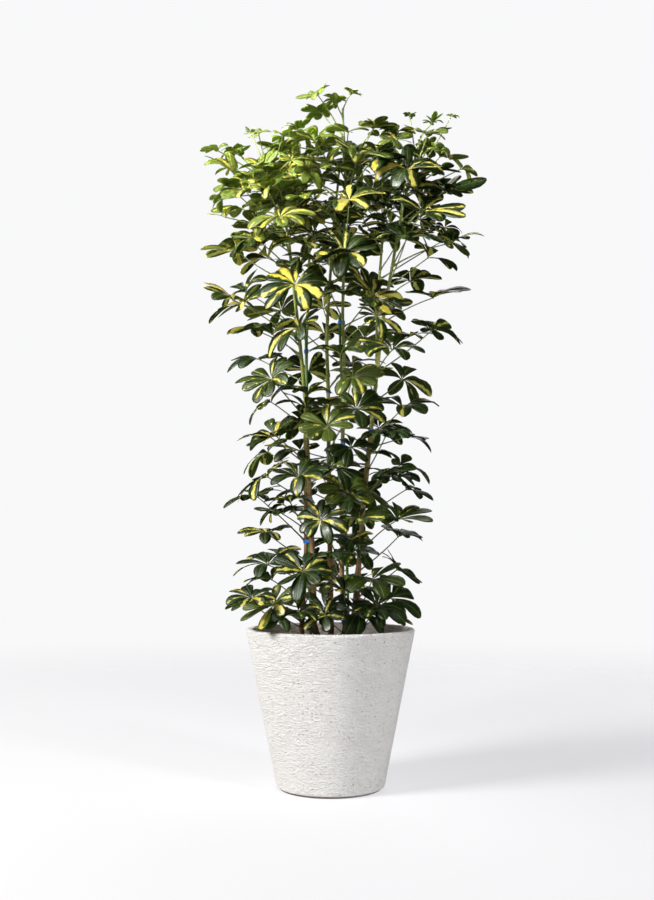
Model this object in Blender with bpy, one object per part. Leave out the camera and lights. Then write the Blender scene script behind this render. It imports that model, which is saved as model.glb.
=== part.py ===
"""A tall umbrella plant: six leafy stems tied to four stakes, in a round rough-cast planter.

Metres, +Z up. The origin is the centre of the planter's underside, and -Y is the front.
Run it with: blender --background --python part.py
"""

import math
import random

import bmesh
import bpy
from mathutils import Vector
from mathutils.bvhtree import BVHTree

UP = Vector((0.0, 0.0, 1.0))
SEED = 11

# Planter
POT_HEIGHT = 0.350
RIM_RADIUS = 0.190
BASE_RADIUS = 0.1215
FOOT_RADIUS = 0.1140
FOOT_HEIGHT = 0.004
WALL = 0.016
FLOOR = 0.020
BASE_ROUND = 0.004
RIM_ROUND = 0.005
SHARP_ANGLE = 35.0
ROUND_ANGLE = 80.0
POT_SIDES = 32
DRAIN_RADIUS = 0.008
DRAIN_CIRCLE = 0.055
DRAIN_COUNT = 3
DRAIN_TURN = 0.25
CUT_PAST = 0.010

# Soil
SOIL_TOP = 0.315
SOIL_CROWN = 0.004
SOIL_FLAT = 0.6
SOIL_SIDES = 16
SOIL_RIM_DROP = 0.022
FIT_GAP = 0.0004
PLANTED_DEPTH = 0.10
STEM_UPRIGHT = 0.012
STAKE_DEPTH = 0.20
HOLE_SIDES = 8

# Stakes: where each one meets the soil and where its head is
STAKE_RADIUS = 0.0032
STAKE_SIDES = 8
STAKES = {
    "stake_left": ((-0.044, -0.006, SOIL_TOP), (-0.056, 0.002, 1.030)),
    "stake_centre": ((0.042, -0.032, SOIL_TOP), (0.021, -0.022, 1.065)),
    "stake_right": ((0.044, 0.020, SOIL_TOP), (0.121, 0.012, 1.060)),
    "stake_back": ((0.004, 0.066, SOIL_TOP), (-0.006, 0.076, 0.960)),
}

# Ties: flat bands round a stem and its stake
TIE_HEIGHT = 0.008
TIE_THICKNESS = 0.0010
TIE_SLACK = 0.0004
TIE_ARC_POINTS = 4
TIE_STRAIGHT = 0.014
STAND_OFF = 0.0035
LONG_GAP = 0.15

# Stems: foot in the soil, ties as (height, degrees round the stake), and a free route to the tip.
# The hubs are where the leaves that stand out sit. "leaves" more are grown between them by rule.
STEM_SIDES = 5
STEM_TAPER = 0.8
STEMS = {
    "stem_left_front": {
        "stake": "stake_left", "foot": (-0.028, -0.020), "radius": (0.0072, 0.0027),
        "ties": ((0.372, -40), (0.640, -75), (0.830, -110)),
        "free": ((-0.066, -0.020, 0.960), (-0.080, -0.030, 1.087), (-0.104, -0.040, 1.279),
                 (-0.138, -0.036, 1.369), (-0.158, -0.030, 1.450)),
        "hubs": ((-0.190, 0.030, 1.520), (-0.222, -0.010, 1.460), (-0.154, -0.100, 1.384),
                 (-0.165, -0.060, 1.480), (-0.142, 0.030, 1.440), (-0.190, -0.100, 1.330),
                 (-0.232, -0.060, 1.354), (-0.111, -0.150, 1.253), (-0.163, -0.090, 1.219),
                 (-0.078, -0.120, 1.110), (-0.198, -0.060, 1.079), (-0.132, -0.060, 1.012),
                 (-0.130, -0.090, 0.903), (-0.122, -0.060, 0.780), (-0.142, -0.020, 0.691),
                 (-0.070, -0.140, 0.681), (-0.088, -0.110, 0.630), (-0.142, -0.010, 0.562),
                 (-0.058, -0.150, 0.480), (-0.123, -0.100, 0.407), (-0.070, -0.100, 0.392),
                 (-0.112, -0.100, 1.330), (-0.055, -0.125, 1.195)),
        "leaves": 8, "lowest_leaf": 0.375,
    },
    "stem_left_back": {
        "stake": "stake_left", "foot": (-0.066, 0.022), "radius": (0.0060, 0.0025),
        "ties": ((0.545, 150), (0.985, 95)),
        "free": ((-0.050, 0.042, 1.235), (-0.060, 0.056, 1.406), (-0.046, 0.064, 1.500)),
        "hubs": ((-0.078, -0.010, 1.510), (-0.022, 0.070, 1.500), (-0.120, 0.040, 1.500),
                 (-0.094, -0.070, 1.395), (-0.110, 0.080, 1.380), (-0.149, 0.060, 1.221),
                 (-0.199, 0.030, 1.131), (-0.117, 0.100, 1.102), (-0.166, 0.050, 0.973),
                 (-0.139, 0.040, 0.871), (-0.148, 0.080, 0.757), (-0.170, 0.060, 0.649),
                 (-0.124, 0.090, 0.514), (-0.135, 0.040, 0.457), (-0.180, 0.050, 0.400),
                 (-0.115, -0.015, 1.455), (-0.115, 0.000, 0.400)),
        "leaves": 8, "lowest_leaf": 0.385,
    },
    "stem_centre": {
        "stake": "stake_centre", "foot": (0.026, -0.018), "radius": (0.0062, 0.0023),
        "ties": ((0.366, 150), (0.552, 195), (0.764, 260), (1.046, 350)),
        "free": ((0.031, -0.014, 1.185), (0.035, -0.018, 1.390), (0.029, -0.020, 1.555)),
        "hubs": ((0.101, -0.050, 1.498), (-0.020, 0.010, 1.560), (-0.028, -0.070, 1.470),
                 (0.063, -0.110, 1.410), (-0.014, -0.060, 1.300),
                 (0.041, -0.150, 1.293), (0.032, -0.130, 1.180),
                 (-0.027, -0.140, 1.157), (0.092, -0.120, 1.081), (-0.068, -0.100, 1.018),
                 (0.021, -0.150, 0.948), (0.047, -0.130, 0.901), (-0.007, -0.140, 0.792),
                 (0.032, -0.120, 0.652), (-0.020, -0.170, 0.590), (0.005, -0.170, 0.514),
                 (0.030, -0.130, 0.435), (-0.012, -0.080, 0.400), (0.060, -0.080, 0.390)),
        "leaves": 8, "lowest_leaf": 0.392,
    },
    "stem_back": {
        "stake": "stake_back", "foot": (0.002, 0.042), "radius": (0.0070, 0.0026),
        "ties": ((0.566, -100), (0.900, -90)),
        "free": ((-0.008, 0.070, 1.034), (0.004, 0.092, 1.241), (0.024, 0.104, 1.480)),
        "hubs": ((0.064, 0.040, 1.450), (0.020, 0.050, 1.400), (0.050, 0.030, 0.960)),
        "leaves": 17, "lowest_leaf": 0.380,
    },
    "stem_right_front": {
        "stake": "stake_right", "foot": (0.056, -0.004), "radius": (0.0070, 0.0026),
        "ties": ((0.590, -95), (0.802, -100), (1.030, -85)),
        "free": ((0.141, -0.010, 1.167), (0.174, -0.018, 1.344), (0.212, -0.020, 1.490)),
        "hubs": ((0.290, 0.030, 1.560), (0.256, -0.020, 1.440), (0.192, 0.050, 1.570),
                 (0.235, 0.060, 1.490), (0.172, -0.130, 1.370), (0.262, -0.060, 1.345),
                 (0.279, 0.040, 1.382), (0.204, -0.120, 1.276),
                 (0.168, -0.120, 1.212), (0.223, -0.050, 1.191), (0.233, -0.010, 1.030),
                 (0.166, -0.020, 0.849), (0.120, -0.110, 0.773), (0.120, -0.100, 0.692),
                 (0.150, -0.040, 0.593), (0.063, -0.160, 0.590), (0.090, -0.120, 0.462),
                 (0.132, -0.060, 0.420), (0.100, -0.095, 0.405),
                 (0.125, -0.010, 0.385)),
        "leaves": 9, "lowest_leaf": 0.400,
    },
    "stem_right_back": {
        "stake": "stake_right", "foot": (0.068, 0.048), "radius": (0.0058, 0.0024),
        "ties": ((0.470, 80), (0.905, 85)),
        "free": ((0.112, 0.048, 1.100), (0.130, 0.062, 1.340), (0.132, 0.068, 1.510)),
        "hubs": ((0.156, -0.020, 1.500), (0.118, -0.090, 1.400), (0.160, -0.060, 1.430),
                 (0.084, 0.080, 1.470), (0.100, 0.040, 1.340),
                 (0.210, 0.090, 1.400), (0.274, 0.050, 1.263), (0.245, 0.060, 1.124),
                 (0.171, 0.080, 0.930), (0.164, 0.060, 0.724), (0.160, 0.090, 0.556),
                 (0.153, 0.030, 0.480)),
        "leaves": 13, "lowest_leaf": 0.378,
    },
}

# How far the leaves reach from the planter's axis, as (height, to the left, to the right)
REACH = (
    (0.36, 0.250, 0.200), (0.44, 0.215, 0.222), (0.54, 0.224, 0.243), (0.66, 0.241, 0.244),
    (0.78, 0.210, 0.245), (0.87, 0.212, 0.252), (0.96, 0.262, 0.235), (1.02, 0.235, 0.322),
    (1.08, 0.303, 0.325), (1.15, 0.252, 0.305), (1.21, 0.286, 0.354), (1.31, 0.272, 0.351),
    (1.39, 0.358, 0.333), (1.46, 0.285, 0.329), (1.50, 0.242, 0.318), (1.55, 0.120, 0.270),
    (1.60, 0.060, 0.070),
)
DEPTH_REACH = 0.93

# Leaves: a pair of values goes from a young leaf at the tip to a full-grown one. Angles in degrees.
AGEING = 0.24
TIP_LEAF = 0.080
CROWDING = 1.45
LEAFLET_LENGTH = (0.054, 0.094)
LEAFLETS = (7, 8, 8, 9)
LENGTH_SPREAD = (0.92, 1.08)
LOW_LEAVES_FROM = 1.10
LOW_LEAVES = 0.88
PETIOLE_LENGTH = (0.030, 0.135)
PETIOLE_AGEING = 0.6
PETIOLE_SPREAD = (0.82, 1.22)
PETIOLE_RISE = (62.0, 34.0)
RISE_SPREAD = 6.0
PETIOLE_TOP = 0.0017
PETIOLE_FOOT = 0.0023
PETIOLE_FACES = 7
WHORL_TILT = (18.0, 36.0)
TILT_SPREAD = 9.0
TWIST_SPREAD = 10.0
SAG = (0.10, 0.20)
SAG_SPREAD = (0.75, 1.25)
CUP = math.radians(17.0)
ARCH = 0.06
REAL_HALF_WIDTH = 0.170
SOLID_LEAFLETS = (5, 6)
LONG_LEAFLET = 0.078
SOLID_HALF_WIDTH = 0.215
WIDEST_AT = 0.64
NOTCH_RADIUS = 0.0065
BLADE_THICKNESS = 0.0010
BACK_LEAFLET = 0.72
BACK_CURVE = 0.7
LOWEST_ROOT = SOIL_TOP + 0.018
BELOW_TIP = 0.004
NODE_DROP = 0.002

# Where a leaf may grow: the clear air round it, and the places that are tried
AIR = 0.0015
SHIFTS = [(x, y, z) for z in (0.0, 0.011, -0.011, 0.022) for x in (0.0, 0.010, -0.010)
          for y in (0.0, 0.018, -0.018, 0.036)]
LEANS = (0.0, -9.0, 9.0, -22.0)
DROPS = (0.0, 13.0, -13.0)
TURNS = 14
STRETCHES = (1.0, 1.22, 0.8, 0.62)
ROOMY = 0.135
FLATTEN = 1.45
EDGE_LIKING = 0.055
STRETCH_COST = 0.012
SCORE_SPREAD = 0.004
ROOT_STEPS = 8
FIRST_CHOSEN = 50

COLOURS = {
    "planter": ((0.80, 0.79, 0.76, 1.0), 0.85),
    "soil": ((0.05, 0.035, 0.025, 1.0), 0.95),
    "plant": ((0.06, 0.14, 0.04, 1.0), 0.35),
    "stake": ((0.10, 0.33, 0.06, 1.0), 0.45),
    "tie": ((0.03, 0.20, 0.70, 1.0), 0.45),
}


def mix(pair, share):
    """The value at share, 0 to 1, between the two of a pair."""
    return pair[0] + (pair[1] - pair[0]) * share


def material(name):
    """The plain material of a sub-part."""
    found = bpy.data.materials.get(name)
    if found:
        return found
    colour, roughness = COLOURS[name]
    made = bpy.data.materials.new(name)
    made.use_nodes = True
    shader = made.node_tree.nodes["Principled BSDF"]
    shader.inputs["Base Color"].default_value = colour
    shader.inputs["Roughness"].default_value = roughness
    return made


def add_object(name, mesh, material_name):
    """Links a mesh into the scene as one named sub-part."""
    made = bpy.data.objects.new(name, mesh)
    bpy.context.scene.collection.objects.link(made)
    mesh.materials.clear()
    mesh.materials.append(material(material_name))
    return made


def mesh_of(name, points, faces):
    """A mesh with its faces turned outwards."""
    mesh = bpy.data.meshes.new(name)
    mesh.from_pydata(points, [], faces)
    work = bmesh.new()
    work.from_mesh(mesh)
    bmesh.ops.recalc_face_normals(work, faces=work.faces)
    work.to_mesh(mesh)
    work.free()
    return mesh


def turned(profile, sides):
    """Points and faces turned about Z from (radius, height) points that start and end on the axis."""
    points = []
    for radius, height in profile:
        if radius == 0:
            points.append((0.0, 0.0, height))
            continue
        for k in range(sides):
            angle = 2 * math.pi * k / sides
            points.append((radius * math.cos(angle), radius * math.sin(angle), height))
    last = len(points) - 1
    rings = len(profile) - 2
    faces = []
    for k in range(sides):
        after = (k + 1) % sides
        faces.append((0, 1 + after, 1 + k))
        for ring in range(rings - 1):
            low = 1 + ring * sides
            high = low + sides
            faces.append((low + k, low + after, high + after, high + k))
        top = 1 + (rings - 1) * sides
        faces.append((last, top + k, top + after))
    return points, faces


def tube(centres, radii, sides):
    """Points and faces of a closed tube with flat ends, its rings square to the route."""
    points = []
    across = Vector((0.0, -1.0, 0.0))
    for i, (centre, radius) in enumerate(zip(centres, radii)):
        along = (centres[min(i + 1, len(centres) - 1)] - centres[max(i - 1, 0)]).normalized()
        across = (across - along * across.dot(along)).normalized()
        other = along.cross(across)
        for k in range(sides):
            angle = 2 * math.pi * k / sides
            points.append(centre + (across * math.cos(angle) + other * math.sin(angle)) * radius)
    faces = [tuple(range(sides)), tuple(range(len(points) - sides, len(points)))]
    for ring in range(len(centres) - 1):
        for k in range(sides):
            after = (k + 1) % sides
            low = ring * sides
            faces.append((low + k, low + after, low + sides + after, low + sides + k))
    return points, faces


def on_stake(stake, height):
    """The stake's centre at this height."""
    foot, head = (Vector(end) for end in STAKES[stake])
    return foot.lerp(head, (height - foot.z) / (head.z - foot.z))


def beside(stake, height, degrees, stem_radius, off=0.0):
    """The centre of a stem that touches the stake at this height, or stands off it."""
    angle = math.radians(degrees)
    distance = STAKE_RADIUS + stem_radius + FIT_GAP + off
    return on_stake(stake, height) + Vector((math.cos(angle), math.sin(angle), 0.0)) * distance


def route_radius(stem, height):
    """The stem's radius at this height."""
    tip = stem["free"][-1][2]
    share = min(1.0, max(0.0, (height - SOIL_TOP) / (tip - SOIL_TOP)))
    return mix(stem["radius"], share**STEM_TAPER)


def route_points(stem):
    """The points that a stem runs through: into the soil, past its ties, then free."""
    x, y = stem["foot"]
    points = [Vector((x, y, SOIL_TOP - PLANTED_DEPTH)), Vector((x, y, SOIL_TOP + STEM_UPRIGHT))]
    ties = stem["ties"]
    for i, (height, degrees) in enumerate(ties):
        for z in (height - TIE_STRAIGHT, height + TIE_STRAIGHT):
            points.append(beside(stem["stake"], z, degrees, route_radius(stem, height)))
        if i + 1 < len(ties):
            z = (height + ties[i + 1][0]) / 2
            turn = (degrees + ties[i + 1][1]) / 2
            points.append(beside(stem["stake"], z, turn, route_radius(stem, z), STAND_OFF))
    return points + [Vector(point) for point in stem["free"]]


def smooth_route(points):
    """The points and one more in each gap, on a smooth curve through them all."""
    ends = [points[0] * 2 - points[1], *points, points[-1] * 2 - points[-2]]
    curve = []
    for a, b, c, d in zip(ends, ends[1:], ends[2:], ends[3:]):
        curve.append(b)
        before, gap, after = (b - a).length, (c - b).length, (d - c).length
        if gap > LONG_GAP:
            into = (c - a) * (gap / (gap + before))
            out = (d - b) * (gap / (gap + after))
            curve.append((b + c) / 2 + (into - out) / 8)
    return [*curve, points[-1]]


def at_height(curve, height):
    """The point of a rising curve at this height."""
    for low, high in zip(curve, curve[1:]):
        if height <= high.z:
            return low.lerp(high, (height - low.z) / (high.z - low.z))
    return curve[-1].copy()


def reach_at(point):
    """How far from the planter's axis a leaf may reach on this side and at this height."""
    rows = REACH
    z = min(max(point.z, rows[0][0]), rows[-1][0])
    for low, high in zip(rows, rows[1:]):
        if z <= high[0]:
            share = (z - low[0]) / (high[0] - low[0])
            left = mix((low[1], high[1]), share)
            right = mix((low[2], high[2]), share)
            break
    angle = math.atan2(point.y, point.x)
    side = right if point.x > 0 else left
    depth = (left + right) / 2 * DEPTH_REACH
    return math.hypot(side * math.cos(angle), depth * math.sin(angle))


class Leaf:
    """One leaf: a petiole from its stem to a hub, and leaflets spread round the hub."""

    def __init__(self, root, hub, tilt, length, sag, twist, count):
        outward = hub - root
        azimuth = math.atan2(outward.y, outward.x)
        outward = Vector((math.cos(azimuth), math.sin(azimuth), 0.0))
        self.root = root
        self.hub = hub
        self.normal = UP * math.cos(tilt) + outward * math.sin(tilt)
        self.ahead = outward * math.cos(tilt) - UP * math.sin(tilt)
        self.side = self.normal.cross(self.ahead)
        self.length = length
        self.sag = sag
        self.twist = twist
        self.count = count

    def share(self, turn):
        """A leaflet that points back at the stem is shorter than one that points away."""
        return mix((BACK_LEAFLET, 1.0), ((1 + math.cos(turn)) / 2) ** BACK_CURVE)

    def heading(self, turn):
        """The direction of a leaflet, before it sags."""
        return self.ahead * math.cos(turn) + self.side * math.sin(turn)

    def point(self, turn, along, across):
        """A point of a leaflet: along goes from 0 at the hub to 1 at the tip, across is in metres."""
        heading = self.heading(turn)
        length = self.length * self.share(turn)
        lift = along * math.sin(CUP) + ARCH * 4 * along * (1 - along) - self.sag * along**2
        return (
            self.hub + heading * (along * length * math.cos(CUP)) + self.normal * (lift * length)
            + self.normal.cross(heading) * across
        )

    def tips(self):
        """The leaflets' tips."""
        return [self.point(turn, 1.0, 0.0) for turn in self.turns(self.count)]

    def turns(self, count):
        """This many leaflets' turns round the hub, in order, starting behind it."""
        return [self.twist + math.pi * (2 * k + 1 - count) / count for k in range(count)]


def leaf_shell(leaf, count, half_width, grow=0.0):
    """Points and faces of a leaf: a plate cut into leaflets up to the hub, on a three-sided petiole.

    grow makes it fatter all over, to test that another leaf keeps clear of it."""
    half = leaf.normal * (BLADE_THICKNESS / 2 + grow)
    turns = leaf.turns(count)
    outline = []
    for i, turn in enumerate(turns):
        before = turns[i - 1] - (2 * math.pi if i == 0 else 0.0)
        width = half_width * leaf.length * leaf.share(turn) + grow
        outline += [
            leaf.hub + leaf.heading((before + turn) / 2) * NOTCH_RADIUS,
            leaf.point(turn, WIDEST_AT, -width),
            leaf.point(turn, 1.0 + grow / leaf.length, 0.0),
            leaf.point(turn, WIDEST_AT, width),
        ]
    size = len(outline)
    corners = [leaf.twist + math.radians(degrees) for degrees in (-120, 0, 120)]
    spokes = [leaf.heading(corner) for corner in corners]
    stalk = (leaf.hub - leaf.root).normalized()
    points = [point + half for point in outline] + [point - half for point in outline]
    points.append(leaf.hub + half)
    points += [leaf.hub - half + spoke * (PETIOLE_TOP + grow) for spoke in spokes]
    points += [
        leaf.root + (spoke - stalk * spoke.dot(stalk)).normalized() * (PETIOLE_FOOT + grow)
        for spoke in spokes
    ]
    hub, ring, root = 2 * size, 2 * size + 1, 2 * size + 4
    nearest = [max(range(3), key=lambda k, t=turn: math.cos(t - corners[k])) for turn in turns]
    faces = []
    for i, here in enumerate(nearest):
        edge = [(4 * i + k) % size for k in range(5)]
        under = [size + k for k in edge]
        notch, right, tip, left, following = edge
        faces += [(hub, notch, right), (hub, right, left), (right, tip, left), (hub, left, following)]
        faces += [(ring + here, under[1], under[0]), (ring + here, under[3], under[1]),
                  (under[1], under[3], under[2]), (ring + here, under[4], under[3])]
        for a, b, c, d in zip(edge, edge[1:], under, under[1:]):
            faces += [(a, c, d), (a, d, b)]
        while here != nearest[(i + 1) % len(turns)]:
            faces.append((under[4], ring + here, ring + (here + 1) % 3))
            here = (here + 1) % 3
    for k in range(3):
        after = (k + 1) % 3
        faces += [(ring + after, ring + k, root + k), (ring + after, root + k, root + after)]
    faces.append((root, root + 2, root + 1))
    return points, faces


def solid_shell(leaf, grow=0.0):
    """The leaf as a solid, with fewer and wider leaflets than a real one."""
    return leaf_shell(leaf, SOLID_LEAFLETS[leaf.length > LONG_LEAFLET], SOLID_HALF_WIDTH, grow)


def draw_for(number, i):
    """The random numbers of leaf i on this stem."""
    return random.Random((SEED * 100 + number) * 100 + i)


def leaf_habit(tip, height, draw):
    """How a leaf at this height looks: its age from 0 to 1, and its measures by that age."""
    age = min(1.0, max(0.0, (tip - height) / AGEING))
    low = min(1.0, max(0.0, (LOW_LEAVES_FROM - height) / (LOW_LEAVES_FROM - SOIL_TOP)))
    return {
        "length": mix(LEAFLET_LENGTH, age) * mix((1.0, LOW_LEAVES), low) * draw.uniform(*LENGTH_SPREAD),
        "petiole": mix(PETIOLE_LENGTH, age**PETIOLE_AGEING) * draw.uniform(*PETIOLE_SPREAD),
        "tilt": mix(WHORL_TILT, age) + draw.uniform(-TILT_SPREAD, TILT_SPREAD),
        "rise": mix(PETIOLE_RISE, age) + draw.uniform(-RISE_SPREAD, RISE_SPREAD),
        "sag": mix(SAG, age) * draw.uniform(*SAG_SPREAD),
        "twist": draw.uniform(-TWIST_SPREAD, TWIST_SPREAD),
        "count": draw.choice(LEAFLETS),
    }


def make_leaf(root, hub, habit, lean=0.0, spin=0.0):
    """A leaf of this habit between these places."""
    tilt, twist = math.radians(habit["tilt"] + lean), math.radians(habit["twist"] + spin)
    return Leaf(root, hub, tilt, habit["length"], habit["sag"], twist, habit["count"])


def chosen_candidates(curve, hub, habit):
    """The ways to put a leaf's hub at or near a chosen place."""
    for shift in SHIFTS:
        place = hub + Vector(shift)
        for lean in LEANS:
            for drop in DROPS:
                root = Vector((0.0, 0.0, 0.0))
                height = place.z
                for _ in range(ROOT_STEPS):
                    root = at_height(curve, height)
                    out = math.hypot(place.x - root.x, place.y - root.y)
                    height = place.z - out * math.tan(math.radians(habit["rise"] + drop))
                    height = min(max(height, LOWEST_ROOT), curve[-1].z - BELOW_TIP)
                yield make_leaf(root, place, habit, lean, 2 * lean)


def grown_candidates(root, habit, draw, hubs):
    """The ways a leaf could grow from this node, with the most open place first."""
    start = draw.uniform(0, 2 * math.pi)
    found = []
    for k in range(TURNS):
        azimuth = start + 2 * math.pi * k / TURNS
        outward = Vector((math.cos(azimuth), math.sin(azimuth), 0.0))
        for stretch in STRETCHES:
            for drop in DROPS:
                rise = math.radians(habit["rise"] + drop)
                hub = root + (outward * math.cos(rise) + UP * math.sin(rise)) * habit["petiole"] * stretch
                leaf = make_leaf(root, hub, habit)
                used = max(math.hypot(tip.x, tip.y) / reach_at(tip) for tip in leaf.tips())
                if used > 1.0:
                    continue
                space = min([ROOMY] + [
                    math.hypot(hub.x - other.x, hub.y - other.y, (hub.z - other.z) * FLATTEN)
                    for other in hubs
                ])
                score = space + EDGE_LIKING * used - STRETCH_COST * abs(stretch - 1)
                found.append((score + draw.uniform(0, SCORE_SPREAD), leaf))
    return [leaf for _, leaf in sorted(found, key=lambda pair: -pair[0])]


class Crowd:
    """Everything that a new leaf has to keep clear of, as (centre, reach, tree)."""

    def __init__(self, routes):
        self.hubs = []
        self.still = []
        self.leaves = []
        self.stems = {}
        for shell in still_shells():
            self.still.append(BVHTree.FromPolygons(*shell))
        for name, curve in routes.items():
            radii = [route_radius(STEMS[name], point.z) + AIR for point in curve]
            self.stems[name] = BVHTree.FromPolygons(*tube(curve, radii, STEM_SIDES))

    def takes(self, leaf, name):
        """Adds the leaf if it is clear of all the rest. Only its petiole may enter its own stem."""
        shells = [leaf_shell(leaf, leaf.count, REAL_HALF_WIDTH, AIR), solid_shell(leaf, AIR)]
        centre = (leaf.root + leaf.hub) / 2
        reach = max((Vector(point) - centre).length for points, _ in shells for point in points)
        others = [tree for other, tree in self.stems.items() if other != name]
        others += [tree for there, span, tree in self.leaves if (there - centre).length < span + reach]
        others += self.still
        found = []
        for points, faces in shells:
            blade = BVHTree.FromPolygons(points, faces[:-PETIOLE_FACES])
            if blade.overlap(self.stems[name]):
                return False
            found.append(BVHTree.FromPolygons(points, faces))
            if any(found[-1].overlap(tree) for tree in others):
                return False
        self.leaves += [(centre, reach, tree) for tree in found]
        self.hubs.append(leaf.hub)
        return True


def still_shells():
    """The shapes of the planter, soil, stakes and ties, a little fat."""
    low, high = POT_HEIGHT - SOIL_RIM_DROP, POT_HEIGHT + AIR
    inner = RIM_RADIUS - WALL - AIR
    shells = [turned([(0, low), (inner, low), (inner, high), (RIM_RADIUS + AIR, high),
                      (BASE_RADIUS + AIR, 0.0), (0, 0.0)], POT_SIDES)]
    for name in STAKES:
        ends = [on_stake(name, SOIL_TOP), on_stake(name, STAKES[name][1][2] + AIR)]
        shells.append(tube(ends, [STAKE_RADIUS + AIR] * 2, STAKE_SIDES))
    for _, stem, height, degrees in tie_list():
        shells.append(tie_shell(stem, height, degrees, AIR))
    return shells


def grow_leaves(routes):
    """The leaves of every stem: the chosen ones, then the rest from the tips down in the open places."""
    crowd = Crowd(routes)
    grown = {name: [] for name in STEMS}
    for number, (name, stem) in enumerate(STEMS.items()):
        for i, place in enumerate(stem["hubs"]):
            draw = draw_for(number, FIRST_CHOSEN + i)
            habit = leaf_habit(routes[name][-1].z + TIP_LEAF, place[2], draw)
            tries = chosen_candidates(routes[name], Vector(place), habit)
            grown[name] += [leaf for leaf in tries if crowd.takes(leaf, name)][:1]
    nodes = []
    for number, (name, stem) in enumerate(STEMS.items()):
        tip = routes[name][-1].z
        for i in range(stem["leaves"]):
            share = (i / (stem["leaves"] - 1)) ** CROWDING
            nodes.append((mix((tip, stem["lowest_leaf"]), share), number, i, name))
    for height, number, i, name in sorted(nodes, reverse=True):
        draw = draw_for(number, i)
        root = at_height(routes[name], height - NODE_DROP)
        habit = leaf_habit(routes[name][-1].z, height, draw)
        for leaf in grown_candidates(root, habit, draw, crowd.hubs):
            if crowd.takes(leaf, name):
                grown[name].append(leaf)
                break
    return grown


def tie_list():
    """Every tie: its name, its stem, its height and its turn round the stake."""
    return [
        (name.replace("stem", "tie") + f"_{k}", stem, height, degrees)
        for name, stem in STEMS.items()
        for k, (height, degrees) in enumerate(stem["ties"], 1)
    ]


def tie_shell(stem, height, degrees, grow=0.0):
    """Points and faces of a flat band round a stem and its stake: two half rounds, straight between."""
    stake_at = on_stake(stem["stake"], height)
    stem_at = beside(stem["stake"], height, degrees, route_radius(stem, height))
    along = (on_stake(stem["stake"], height + 1.0) - stake_at).normalized()
    apart = stem_at - stake_at
    apart = (apart - along * apart.dot(along)).normalized()
    across = along.cross(apart)
    half_rounds = ((stem_at, route_radius(stem, height), 0.0), (stake_at, STAKE_RADIUS, math.pi))
    points = []
    for level in (-TIE_HEIGHT / 2 - grow, TIE_HEIGHT / 2 + grow):
        for thickness in (0.0, TIE_THICKNESS + grow):
            for centre, radius, turn in half_rounds:
                reach = radius / math.cos(math.pi / 2 / (TIE_ARC_POINTS - 1)) + TIE_SLACK + thickness
                for k in range(TIE_ARC_POINTS):
                    angle = math.pi * (k / (TIE_ARC_POINTS - 1) - 0.5) + turn
                    spoke = apart * math.cos(angle) + across * math.sin(angle)
                    points.append(centre + spoke * reach + along * level)
    size = 2 * TIE_ARC_POINTS
    inner_low, outer_low, inner_high, outer_high = (ring * size for ring in range(4))
    faces = []
    for k in range(size):
        after = (k + 1) % size
        for a, b in ((inner_low, outer_low), (outer_low, outer_high),
                     (outer_high, inner_high), (inner_high, inner_low)):
            faces.append((a + k, a + after, b + after, b + k))
    return points, faces


def build_planter():
    """The planter: a tapered shell with a rounded rim, an inset foot and drain holes."""
    profile = [(0, 0.0), (FOOT_RADIUS, 0.0), (FOOT_RADIUS, FOOT_HEIGHT),
               (BASE_RADIUS - BASE_ROUND, FOOT_HEIGHT), (BASE_RADIUS, FOOT_HEIGHT + BASE_ROUND)]
    for radius, angles in ((RIM_RADIUS - RIM_ROUND, (0, 45, 90)),
                           (RIM_RADIUS - WALL + RIM_ROUND, (90, 180))):
        for angle in map(math.radians, angles):
            profile.append((radius + RIM_ROUND * math.cos(angle),
                            POT_HEIGHT - RIM_ROUND + RIM_ROUND * math.sin(angle)))
    profile += [(BASE_RADIUS - WALL, FLOOR), (0, FLOOR)]
    planter = add_object("planter", mesh_of("planter", *turned(profile, POT_SIDES)), "planter")
    cutters = []
    for k in range(DRAIN_COUNT):
        angle = 2 * math.pi * (k + DRAIN_TURN) / DRAIN_COUNT
        x, y = DRAIN_CIRCLE * math.cos(angle), DRAIN_CIRCLE * math.sin(angle)
        ends = [Vector((x, y, -CUT_PAST)), Vector((x, y, FLOOR + CUT_PAST))]
        cutters.append(tube(ends, [DRAIN_RADIUS] * 2, HOLE_SIDES))
    join(planter, cutters, "DIFFERENCE")
    shade(planter, SHARP_ANGLE)


def shade(body, degrees):
    """Shades round faces smooth and leaves edges over this angle sharp."""
    body.data.shade_smooth()
    body.data.set_sharp_from_angle(angle=math.radians(degrees))


def join(body, shells, operation):
    """Cuts these shapes out of the body, or adds them to it, with one Boolean."""
    group = bpy.data.collections.new(body.name + "_shapes")
    for shell in shells:
        shape = bpy.data.objects.new(body.name + "_shape", mesh_of(body.name + "_shape", *shell))
        shape.hide_render = True
        shape.display_type = "WIRE"
        group.objects.link(shape)
    boolean = body.modifiers.new("shapes", "BOOLEAN")
    boolean.operand_type = "COLLECTION"
    boolean.collection = group
    boolean.operation = operation
    boolean.solver = "EXACT"
    graph = bpy.context.evaluated_depsgraph_get()
    joined = bpy.data.meshes.new_from_object(body.evaluated_get(graph))
    body.modifiers.clear()
    body.data = joined
    for shape in list(group.objects):
        bpy.data.objects.remove(shape)
    bpy.data.collections.remove(group)


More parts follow.
